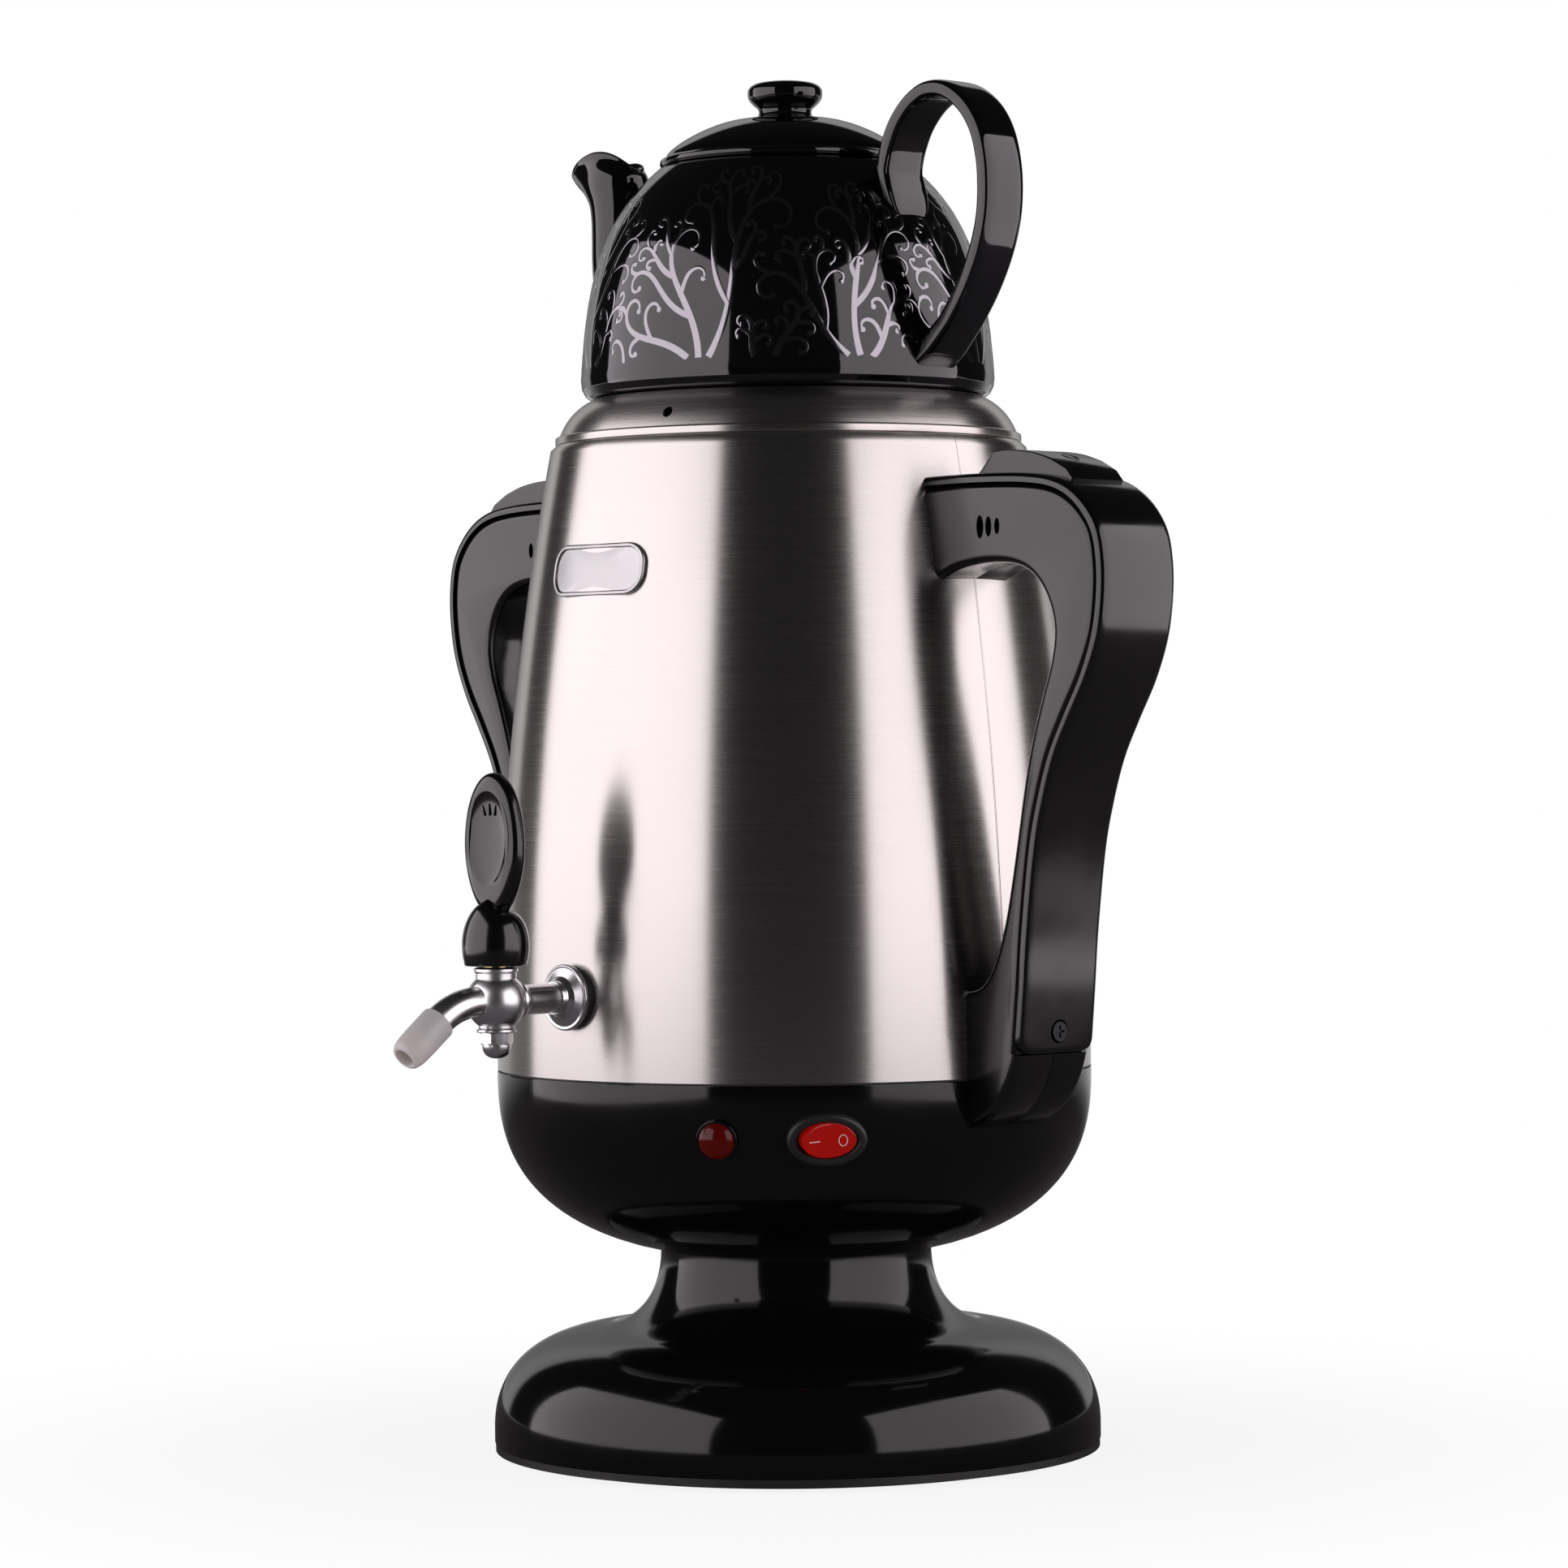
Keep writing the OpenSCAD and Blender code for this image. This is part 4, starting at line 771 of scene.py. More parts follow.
@dataclass
class Assembly:
    """A group of pieces that belong together on the samovar."""

    made: list[str] = field(default_factory=list, init=False)

    def piece(self, obj: Object, finish: Finish, *replaces: str, body: Body = Body.SAMOVAR) -> None:
        """Finishes a piece and hands it to a body.

        Args:
            obj: The piece, already in place.
            finish: Its finish.
            *replaces: The CAD nodes that it stands for.
            body: The body that it rides on.
        """
        dressed(obj, finish)
        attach(obj, body.value)
        if replaces:
            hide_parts(*replaces)
        finish.record or finish.slot
        self.made.append(obj.name)
        LOG.info("made %s with %d faces", obj.name, len(obj.data.polygons))

    def carry_over(self, finish: Finish, *nodes: str) -> None:
        """Gives CAD nodes that stay in view a finish.

        Args:
            finish: The finish.
            *nodes: Names of the nodes.
        """
        for node in nodes:
            dressed(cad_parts[node], finish)
            self.made.append(node)

    def build(self) -> None:
        """Makes every piece of the group."""
        raise NotImplementedError


# ---- geometry nodes


class NodeTool:
    """A Geometry Nodes tree with named inputs, which is run on an object."""

    def __init__(self, name: str, inputs: Sequence[tuple[str, str]]) -> None:
        """Starts the tree.

        Args:
            name: Name of the tree.
            inputs: The name and the kind of each input.
        """
        self.tree = bpy.data.node_groups.new(name, "GeometryNodeTree")
        face = self.tree.interface
        self.names = {label: face.new_socket(
            label, in_out="INPUT", socket_type="NodeSocket" + kind).identifier for label, kind in inputs}
        face.new_socket("Geometry", in_out="OUTPUT", socket_type="NodeSocketGeometry")
        self.graph = Graph(self.tree)
        self.given = self.graph.node("NodeGroupInput").outputs

    def value(self, name: str) -> Wire:
        """One of the tree's inputs."""
        return Wire(self.graph, self.given[name])

    def end(self, made: Node) -> None:
        """Makes the last node's copies real, paints them and ends the tree."""
        real = self.graph.node("GeometryNodeRealizeInstances", {}, {0: made.outputs[0]})
        painted = self.graph.node("GeometryNodeSetMaterial", {}, {
            "Geometry": real.outputs[0], "Material": self.given["Finish"]})
        self.graph.node("NodeGroupOutput", {}, {0: painted.outputs[0]})

    def run(self, obj: Object, finish: Finish, **values: float) -> Object:
        """Runs the tree on an object and makes the result plain mesh.

        Args:
            obj: The object.
            finish: Its finish.
            **values: What goes into the other inputs, with _ for each space of their names.

        Returns:
            The object with its new mesh.
        """
        use = obj.modifiers.new("nodes", "NODES")
        use.node_group = self.tree
        for key, value in values.items():
            use[self.names[key.replace("_", " ").title()]] = value
        use[self.names["Finish"]] = finish.build()
        return baked(obj)


class RepeatAround(NodeTool):
    """Repeats a piece around the upright axis."""

    def __init__(self) -> None:
        """Builds the tree: copies of the piece, each turned by the spread from the one before it."""
        super().__init__("repeat_around", (("Geometry", "Geometry"), ("Count", "Int"), ("Spread", "Float"),
                                           ("Finish", "Material")))
        g = self.graph
        angle = g.wire("GeometryNodeInputIndex") * self.value("Spread")
        turn = g.node("ShaderNodeCombineXYZ", {}, {2: angle})
        dots = g.node("GeometryNodePoints", {}, {"Count": self.value("Count")})
        self.end(g.node("GeometryNodeInstanceOnPoints", {}, {
            "Points": dots.outputs[0], "Instance": self.value("Geometry"), "Rotation": turn.outputs[0]}))


class SpunSheet(NodeTool):
    """The wall of the tank: a sheet whose radius falls with the square of its height."""

    rows: int = 260
    curl_depth: float = 0.998  # how near to level the shoulder ends
    sharp: float = 40.0

    def __init__(self) -> None:
        """Builds the tree: a grid that is rolled up, its first half outside and its second inside."""
        lengths = ("Foot Radius", "Top Radius", "Mouth Radius", "Height", "Shoulder", "Wall", "Foot Height")
        super().__init__("spun_sheet", [(name, "Float") for name in lengths]
                         + [("Around", "Int"), ("Finish", "Material")])
        g, value, rows = self.graph, self.value, self.rows
        grid = g.node("GeometryNodeMeshGrid", {}, {
            "Size X": 1.0, "Size Y": 1.0, "Vertices X": value("Around"), "Vertices Y": rows})
        x, y, _ = g.axes(g.node("GeometryNodeInputPosition").outputs[0])
        angle = (x + 0.5) * TURN
        way = y + 0.5
        inner = way.math("GREATER_THAN", 0.5)
        share = (1 - abs(way * 2 - 1)) * (rows - 1) / (rows - 2)
        rise = share.math("MINIMUM", 1.0) * value("Height")
        body = value("Height") - value("Shoulder")
        fall = (rise / body).math("MINIMUM", 1.0) ** 2
        radius = value("Foot Radius") - (value("Foot Radius") - value("Top Radius")) * fall
        over = (rise - body).math("MAXIMUM", 0.0) / value("Shoulder")
        curl = 1 - (1 - over * over * self.curl_depth).math("SQRT")
        radius = radius - (value("Top Radius") - value("Mouth Radius")) * curl - inner * value("Wall")
        spot = g.node("ShaderNodeCombineXYZ", {}, {
            0: radius * angle.math("COSINE"), 1: radius * angle.math("SINE"), 2: rise + value("Foot Height")})
        bent = g.node("GeometryNodeSetPosition", {}, {
            "Geometry": grid.outputs[0], "Position": spot.outputs[0]})
        self.end(g.node("GeometryNodeMergeByDistance", {}, {"Geometry": bent.outputs[0], "Distance": 1e-6}))

    def make(self, name: str, finish: Finish, around: int, **sizes: float) -> Object:
        """Makes the sheet as a plain, closed mesh.

        Args:
            name: Name of the piece.
            finish: Its finish.
            around: Pieces around.
            **sizes: The tree's sizes in millimetres, with _ for each space.

        Returns:
            The object.
        """
        metres = {key: size * MM for key, size in sizes.items()}
        obj = self.run(linked(name, bpy.data.meshes.new(name)), finish, around=around + 1, **metres)
        cleaned(obj.data, self.sharp, bridged)
        return obj


# ---- the samovar


@dataclass
class Sizes:
    """Heights and radii that several groups share, as in the part's source."""

    plate_top: float = 4.0
    foot_top: float = 69.0
    bowl_top: float = 129.5
    bowl_r: float = 100.3
    bowl_depth: float = 64.0
    bowl_power: float = 2.6
    tank_foot: float = 130.1
    tank_r: float = 100.2
    tank_top_r: float = 80.6
    mouth_r: float = 78.5
    tank_h: float = 209.4
    shoulder: float = 3.0
    control: float = 112.2
    tap: float = 157.0
    plug_x: float = 131.5
    seat: float = 355.0
    pot_top: float = 433.5

    @property
    def mouth(self) -> float:
        """Height of the mouth of the tank."""
        return self.tank_foot + self.tank_h

    def bowl_at(self, z: float, wall: float = 0.0) -> float:
        """Radius of the bowl at a height, or of its inside where a wall is given."""
        u = min(1.0, max(0.0, self.bowl_top - z) / (self.bowl_depth - wall))
        return (self.bowl_r - wall) * (1 - u**self.bowl_power) ** (1 / self.bowl_power)

    def tank_at(self, z: float) -> float:
        """Radius of the tank at a height: it falls with the square of the height."""
        t = min(max((z - self.tank_foot) / (self.tank_h - self.shoulder), 0.0), 1.0)
        return self.tank_r - (self.tank_r - self.tank_top_r) * t * t

    def wall_at(self, z: float) -> float:
        """Radius of whatever stands at a height, the bowl or the tank."""
        return self.tank_at(z) if z > self.tank_foot else self.bowl_at(z)

    @property
    def bowl_dip(self) -> float:
        """How far the bowl leans outwards at its controls, in degrees."""
        near = 0.5
        return math.degrees(math.atan(self.bowl_at(self.control + near) - self.bowl_at(self.control - near)))

    def on_bowl(self, azimuth: float) -> Matrix:
        """Frame on the bowl at the height of its controls, with -Y straight out."""
        return outwards(azimuth, self.bowl_at(self.control), self.control, self.bowl_dip)


SIZES = Sizes()


@dataclass
class Foot(Assembly):
    """The black foot with its bottom plate and rubber ring."""

    radius: float = 102.4
    band: float = 9.5
    waist: float = 41.8
    waist_r: float = 69.0
    neck_r: float = 45.7
    wall: float = 2.8
    floor_t: float = 3.0
    bore_r: float = 12.0

    def side(self) -> list[Pair]:
        """Outer line of the foot, from the plate up to the neck.

        Returns:
            Its points.
        """
        rise, run = self.waist - self.band, self.radius - self.waist_r
        low = [(self.radius - d, SIZES.plate_top + up) for d, up in ((0.5, 0.05), (0.1, 0.2), (0.0, 0.6))]
        dome = bezier([(self.radius, self.band), (self.radius, self.band + 0.61 * rise),
                       (self.waist_r + 0.57 * run, self.waist - 0.05 * rise), (self.waist_r, self.waist)], 40)
        neck = bezier([(self.waist_r, self.waist),
                       (self.neck_r + 0.4 * (self.waist_r - self.neck_r), self.waist + 0.6),
                       (self.neck_r, self.waist + 10), (self.neck_r, self.waist + 27)], 30)
        return low + dome + neck[1:]

    def build(self) -> None:
        """Makes the foot."""
        side = self.side()
        under = SIZES.foot_top - self.floor_t
        inner = [(r, min(z, under)) for r, z in inset(side[2:], -self.wall)]
        top = [(self.neck_r, SIZES.foot_top), (self.bore_r, SIZES.foot_top), (self.bore_r, under)]
        profile = side + top + inner[::-1] + [(self.radius - self.wall, SIZES.plate_top + 0.05)]
        shell = Shape().revolve(profile, Facets.MOULDING, closed=True)
        self.piece(shell.object("foot_moulding"), BLACK, "foot_shell")
        self.carry_over(SATIN, "base_plate")
        self.carry_over(RUBBER, "anti_slip_ring")
        self.carry_over(ZINC, "base_screws")


@dataclass
class Bowl(Assembly):
    """The black bowl with the plinth of the power inlet, and what is inside it."""

    wall: float = 2.8
    floor_t: float = 3.0
    bore_r: float = 12.0
    plinth: Pair = (52.0, 28.0)
    plinth_y: float = 101.8
    plinth_l: float = 15.8
    plinth_r: float = 4.0
    inlet: Pair = (28.3, 20.3)

    def line(self, low: float, steps: int, crowd: float, wall: float = 0.0) -> list[Pair]:
        """Points of the bowl's curve from a height up to its edge, nearer to each other higher up.

        Args:
            low: Height of the first point.
            steps: How many pieces the line has.
            crowd: Power that evens out how near to each other they are.
            wall: How far the line is inside the bowl.

        Returns:
            The points.
        """
        rise = SIZES.bowl_top - low
        heights = [low + rise * math.sin(math.pi / 2 * i / steps) ** crowd for i in range(steps + 1)]
        return [(SIZES.bowl_at(z, wall), z) for z in heights]

    def shell(self) -> Shape:
        """The bowl with its rounded upper edge."""
        low, top, r = SIZES.foot_top, SIZES.bowl_top, SIZES.bowl_r
        side = [(q, z) for q, z in self.line(low, 60, 0.9) if z < top - 0.45]
        edge = [(r, top - 0.3), (r - 0.08, top - 0.08), (r - 0.3, top), (r - self.wall, top)]
        inner = self.line(low + self.floor_t, 24, 1.0, self.wall)
        profile = [(self.bore_r, low)] + side + edge + inner[::-1] + [(self.bore_r, low + self.floor_t)]
        return Shape().revolve(profile, Facets.MOULDING, closed=True)

    def plinth_block(self) -> Shape:
        """The block with a rounded front that the inlet is screwed to.

        Returns:
            The block, which reaches into the bowl.
        """
        w, h = self.plinth
        rings = []
        for back, d in ((self.plinth_l, 0.0), (1.2, 0.0), (0.6, 0.16), (0.2, 0.55), (0.0, 1.2)):
            outline = box_outline(w - 2 * d, h - 2 * d, self.plinth_r - d / 2)
            rings.append(level(outline, back - self.plinth_y))
        return Shape().loft(rings)

    def build(self) -> None:
        """Makes the bowl and dresses its inside."""
        place = outwards(180, 0, SIZES.control)
        outline = box_outline(*self.inlet, 0.5, 2)
        hole = Shape().loft([level(outline, y) for y in (-60.0, -120.0)]).moved(place)
        bowl = carved(self.shell().object("bowl_moulding"), [hole])
        self.piece(bowl, BLACK, "bowl_shell")
        plinth = carved(self.plinth_block().moved(place).object("bowl_plinth"), [hole])
        self.piece(plinth, BLACK)
        self.carry_over(RUBBER, "shell_gasket", "tap_seal_outer")
        self.carry_over(SATIN, "power_inlet", "lamp_nut", "thermostat")
        self.carry_over(BRASS, "inlet_pins", "switch_terminals")
        self.carry_over(ZINC, "inlet_screws", "tank_studs", "stud_nuts", "sensor_bracket")
        self.carry_over(ALUMINIUM, "heat_plate")
        self.carry_over(HEATED, "heating_element")
        self.carry_over(CERAMIC, "thermal_cutout")
        self.carry_over(BULB, "neon_bulb")


@dataclass
class Tank(Assembly):
    """The steel tank with its badge."""

    wall: float = 0.8
    badge: Pair = (44.0, 17.0)
    badge_z: float = 296.1
    badge_rim: float = 1.5
    badge_field: float = 0.8
    badge_round: float = 0.42

    def on_tank(self, x: float, z: float, h: float) -> Triple:
        """Bends a place in the badge's plane onto the tank.

        Args:
            x: Distance to the right of the badge's middle.
            z: Distance above its middle.
            h: Height above the steel.

        Returns:
            The place in the part's frame.
        """
        up = self.badge_z + z
        r = SIZES.tank_at(up)
        a = x / r
        return ((r + h) * math.sin(a), -(r + h) * math.cos(a), up)

    def plate(self) -> Shape:
        """The badge: a raised rim around a sunk field.

        Returns:
            The badge, bent to the tank.
        """
        w, h = self.badge
        rim, sunk = self.badge_rim, self.badge_field
        rows = [(0.0, 0.08), (0.0, 1.1), (0.12, 1.4), (0.4, 1.6), (rim - 0.4, 1.6), (rim - 0.12, 1.42),
                (rim, 1.1), (rim + 0.05, sunk)]
        rings = []
        for d, up in rows:
            outline = box_outline(w - 2 * d, h - 2 * d, self.badge_round * h - d, 10)
            rings.append([self.on_tank(x, z, up) for x, z in outline])
        field_w, field_h = w - 2 * rim - 0.1, h - 2 * rim - 0.1
        outline = box_outline(field_w, field_h, self.badge_round * field_h, 10)
        for s in shrinking(8, 0.3):
            rings.append([self.on_tank(x * s, z * s, sunk) for x, z in outline])
        return Shape().loft(rings)

    def build(self) -> None:
        """Makes the tank wall and the badge."""
        sheet = SpunSheet().make(
            "tank_wall", STEEL, Facets.SHEET, foot_radius=SIZES.tank_r, top_radius=SIZES.tank_top_r,
            mouth_radius=SIZES.mouth_r, height=SIZES.tank_h, shoulder=SIZES.shoulder, wall=self.wall,
            foot_height=SIZES.tank_foot)
        self.piece(sheet, STEEL, "tank_shell")
        self.carry_over(STEEL, "tank_floor")
        self.piece(self.plate().object("badge_plate", 50), BADGE, "badge")


@dataclass
class Controls(Assembly):
    """The signal lamp and the rocker switch on the bowl."""

    lamp_az: float = 32.0
    switch_az: float = 52.4
    lens_r: float = 5.9
    stem_r: float = 5.0
    stem_l: float = 14.0
    flutes: int = 12
    flute_depth: float = 0.25
    bezel: Pair = (26.0, 17.6)
    case: Triple = (22.0, 14.4, 13.0)
    rocker: Pair = (18.0, 11.6)
    face_low: float = 2.7
    face_rise: float = 1.3
    tilt: float = 10.0
    ring_mark: Pair = (3.0, 3.9)
    ring_band: float = 0.28
    ring_x: float = 4.6
    dash_mark: Pair = (3.7, 0.34)
    dash_x: float = -4.9
    mark_sink: float = 0.15
    mark_up: float = 0.04

    def lamp(self) -> None:
        """Makes the lamp's ring and its lens."""
        spot = SIZES.on_bowl(self.lamp_az) @ FACING
        r, s = self.lens_r, self.stem_r
        section = filleted([(r + 0.05, -2.5, 0), (r + 0.9, -2.5, 0), (r + 0.9, 1.6, 0.5),
                            (r + 0.05, 1.6, 0.2), (r + 0.05, -2.5, 0)])
        ring = Shape().revolve(section, Facets.KNOB, closed=True)
        ring.revolve([(0, -self.stem_l), (s, -self.stem_l), (s, 0.4), (0, 0.4)], Facets.PIPE)
        self.piece(ring.moved(spot).object("lamp_surround"), BLACK, "lamp_holder")
        dome = bezier([(r, 1.8), (r - 0.4, 3.4), (r / 2, 4.9), (0, 5.0)], 14)
        lens = Shape().revolve([(0, 0.45), (r, 0.45)] + dome, Facets.KNOB).shaped(self.fluted).moved(spot)
        self.piece(lens.object("lamp_lens_dome"), LENS, "lamp_lens")

    def fluted(self, p: Triple) -> Triple:
        """Presses shallow flutes into the back of the lens."""
        wave = math.cos(self.flutes * math.atan2(p[1], p[0]))
        return p if p[2] > 0.5 else (p[0], p[1], p[2] + self.flute_depth * wave**2)

    def frame(self) -> Shape:
        """The switch's oval bezel with its well, and the case behind it.

        Returns:
            Both, facing -Y.
        """
        w, h = self.bezel
        rows = [(0, -2.2), (0, 0.9), (0.25, 1.5), (0.8, 1.9), (1.5, 2.05), (2.5, 1.85), (2.75, 1.6),
                (2.8, 0.5)]
        rings = [level(oval_outline(w - 2 * d, h - 2 * d), -y) for d, y in rows]
        well = oval_outline(self.rocker[0] + 0.9, self.rocker[1] + 0.6)
        rings += [level(well, y) for y in (-0.4, 6.8, 6.9)]
        wide, high, deep = self.case
        return Shape().loft(rings).loft([level(box_outline(wide, high, 0.8, 3), y) for y in (7.2, deep)])

    def face_at(self, x: float) -> float:
        """How far the rocker's face stands out: least in the middle, where it turns."""
        return self.face_low + self.face_rise * (abs(x) / (self.rocker[0] / 2)) ** 1.6

    def button(self) -> Shape:
        """The rocker: an oval button whose hollow face rises to both ends.

        Returns:
            The rocker, facing -Y.
        """
        w, h = self.rocker
        outline = oval_outline(w, h)
        rings = []
        for d, back in ((0.9, 4.2), (0.0, 3.4), (0.0, 0.0)):
            rings.append([(x * (w - 2 * d) / w, back, z * (h - 2 * d) / h) for x, z in outline])
        for d, drop in ((0.0, 0.55), (0.12, 0.2), (0.5, 0.0)):
            s = (w - 2 * d) / w
            rings.append([(x * s, drop - self.face_at(x * s), z * (h - 2 * d) / h) for x, z in outline])
        for share in shrinking(12, 0.4):
            s = share * (w - 1) / w
            rings.append([(x * s, -self.face_at(x * s), z * share * (h - 1) / h) for x, z in outline])
        return Shape().loft(rings)

    def on_face(self, outline: Sequence[Pair], x: float, up: float) -> list[Triple]:
        """Lays an outline on the rocker, x to the right of its middle and up above its face."""
        return [(q + x, -self.face_at(q + x) - up, z) for q, z in outline]

    def marks(self) -> Shape:
        """The generic marks for off and on, laid into the rocker.

        Returns:
            A ring and a dash.
        """
        low, top = -self.mark_sink, self.mark_up
        w, h = self.ring_mark
        outer = oval_outline(w, h, 40)
        small = [(x * (1 - self.ring_band / (w / 2)), z * (1 - self.ring_band / (h / 2))) for x, z in outer]
        rows = ((outer, low), (outer, top), (small, top), (small, low))
        ring = [self.on_face(outline, self.ring_x, up) for outline, up in rows]
        dash = box_outline(*self.dash_mark, 0.15, 3)
        marks = Shape().loft(ring, looped=True)
        return marks.loft([self.on_face(dash, self.dash_x, up) for up in (low, top)])

    def switch(self) -> None:
        """Makes the switch."""
        spot = SIZES.on_bowl(self.switch_az)
        self.piece(self.frame().moved(spot).object("switch_bezel"), BEZEL, "switch_frame")
        tilt = spot @ shifted(0, 1, 0) @ turned(self.tilt)
        rocker = self.button().moved(tilt)
        self.piece(rocker.object("switch_button", 40), ROCKER, "switch_rocker", body=Body.ROCKER)
        self.piece(self.marks().moved(tilt).object("switch_marks"), WHITE, body=Body.ROCKER)

    def build(self) -> None:
        """Makes the lamp and the switch."""
        self.lamp()
        self.switch()


@dataclass
class Tap(Assembly):
    """The chrome tap with its lever and its soft nozzle."""

    pipe_r: float = 4.9
    pipe_start: float = 80.0
    ball_r: float = 9.7
    neck_r: float = 6.6
    neck_up: float = 11.0
    bend_r: float = 26.0
    bend_a: float = 38.0
    tail: float = 8.0
    nozzle_l: float = 18.0
    nozzle_bore: float = 3.4
    rosette_r: float = 10.8
    hub_r: float = 10.6
    hub_h: float = 19.0
    hub_gap: float = 0.4
    petal: float = 3.2
    paddle: Triple = (26.4, 46.4, 6.6)
    paddle_lap: float = 3.5
    paddle_edge: float = 5.2
    ridge_l: float = 3.4
    ridge_w: float = 0.42
    ridge_pitch: float = 2.3
    washer: Triple = (2.6, 6.4, -9.0)
    nut_r: float = 5.4
    nut_h: float = 8.4
    nut_top: float = -10.0

    @property
    def axis(self) -> Matrix:
        """Frame on the plug's axis, at the height of the pipe."""
        return shifted(0, -SIZES.plug_x, SIZES.tap)

    @property
    def pipe(self) -> Matrix:
        """Frame on the samovar's axis at the height of the pipe, with its Z along the pipe."""
        return shifted(0, 0, SIZES.tap) @ FACING

    @property
    def bend_y(self) -> float:
        """Distance at which the spout starts to bend."""
        return SIZES.plug_x + self.ball_r - 1.7

    def hoop(self, angle: float, out: float, radius: float, count: int = Facets.PIPE) -> list[Triple]:
        """A ring across the spout.

        Args:
            angle: How far round the bend it is, in degrees.
            out: How far beyond that place it is.
            radius: Its radius.
            count: Points around.

        Returns:
            The ring.
        """
        a = math.radians(angle)
        radial = Vector((0, -math.sin(a), math.cos(a)))
        ahead = Vector((0, -math.cos(a), -math.sin(a)))
        centre = Vector((0, -self.bend_y, SIZES.tap - self.bend_r)) + radial * self.bend_r + ahead * out
        return [tuple(centre + radial * (radius * c) + Vector((radius * s, 0, 0)))
                for c, s in round_points(count)]

    def body(self) -> Shape:
        """Pipe, ball, neck and spout.

        Returns:
            All four as one shape.
        """
        middle, p, n, up = SIZES.plug_x, self.pipe_r, self.neck_r, self.neck_up
        start = middle - self.ball_r
        line = [(0, self.pipe_start), (p, self.pipe_start), (p, start - 1.6), (p + 0.15, start - 0.6),
                (p + 0.7, start + 0.55), (p + 1.4, start + 1.25)]
        for k in range(30):
            a = math.radians(40 + 125 * k / 29)
            line.append((self.ball_r * math.sin(a), middle - self.ball_r * math.cos(a)))
        line.append((0, middle + self.ball_r * 0.97))
        neck = filleted([(0, 0, 0), (n - 0.3, 0, 0), (n, 7.8, 0), (n, up - 1.9, 0.3),
                         (n + 0.5, up - 1.5, 0.3), (n + 0.5, up - 0.5, 0.4), (n - 0.6, up, 0.4), (0, up, 0)])
        low = filleted([(0, -8.9, 0), (5.8, -8.9, 0.4), (5.8, -6.5, 0.5), (5.2, 0, 0), (0, 0, 0)])
        body = Shape().revolve(line, Facets.TAP).moved(self.pipe)
        for profile in (neck, low):
            body.join(Shape().revolve(profile, Facets.TAP).moved(self.axis))
        bend = [self.hoop(self.bend_a * k / 12, 0.0, p) for k in range(13)]
        return body.loft(bend + [self.hoop(self.bend_a, self.tail, p)])

    def nozzle(self) -> Shape:
        """The milky soft tip with its round end.

        Returns:
            The tip, hollow, over the end of the spout.
        """
        r, length, bore, seat = self.pipe_r + 0.9, self.nozzle_l, self.nozzle_bore, self.pipe_r - 0.15
        outer = [(r - 0.35, 0.12), (r - 0.08, 0.3), (r, 0.7), (r, 0.5 * length)] + bezier(
            [(r - 0.1, 0.7 * length), (r - 0.2, 0.9 * length), (r - 0.9, length), (bore + 0.2, length)], 12)
        inner = [(bore, length - 0.15), (bore, self.tail + 0.2), (seat, self.tail + 0.2), (seat, 0.12)]
        rings = [self.hoop(self.bend_a, out, radius, Facets.NUT) for radius, out in outer + inner]
        return Shape().loft(rings, looped=True)

    def rosette(self) -> Shape:
        """The bright cone where the pipe leaves the tank.

        Returns:
            The cone, around the pipe.
        """
        y = SIZES.tank_at(SIZES.tap) + 1.4
        r, p = self.rosette_r, self.pipe_r
        line = filleted([(p + 0.05, y, 0), (r - 0.5, y, 0), (r, y + 0.4, 0.3), (r, y + 1.5, 0.5),
                         (r - 0.5, y + 1.9, 0.3), (r - 1.3, y + 1.7, 0.3), (p + 1.9, y + 3.0, 1.4),
                         (p + 0.7, y + 4.6, 0.9), (p + 0.5, y + 6.5, 0.3), (p + 0.05, y + 6.5, 0)])
        return Shape().revolve(line, Facets.TAP, closed=True).moved(self.pipe)

    def drawn_up(self, p: Triple) -> Triple:
        """Draws the front of the hub up into a rounded point over the paddle.

        Args:
            p: A point of the hub, from its foot.

        Returns:
            Where it goes.
        """
        x, y, z = p
        t = min(max(z / self.hub_h, 0.0), 1.0)
        front = max(0.0, -y / max(math.hypot(x, y), 1e-6)) if t < 0.999 else 0.6
        return (x, y * (1 - 0.1 * t * t), z + self.petal * t**3 * front**2)

    def hub(self) -> Shape:
        """The barrel that sits on the tap's neck.

        Returns:
            The hub, from its own foot up.
        """
        r, h = self.hub_r, self.hub_h
        rows = [(0, 0.0), (r - 1.4, 0.0), (r - 0.9, 0.05), (r - 0.55, 0.35), (r - 0.4, 0.9)]
        rows += bezier([(r - 0.3, 1.6), (r + 0.85, 0.3 * h), (r + 0.95, 0.74 * h), (0.62 * r, 0.91 * h)], 14)
        rows += bezier([(0.58 * r, 0.915 * h), (0.5 * r, 0.95 * h), (0.25 * r, h), (0, h)], 6)
        return Shape().revolve(rows, Facets.KNOB).shaped(self.drawn_up)

    def tapered(self, p: Triple) -> Triple:
        """Narrows the paddle a little towards the hub."""
        low = min(max(-p[2] / (self.paddle[1] / 2), 0.0), 1.0)
        return (p[0] * (1 - 0.1 * low * low), p[1], p[2])

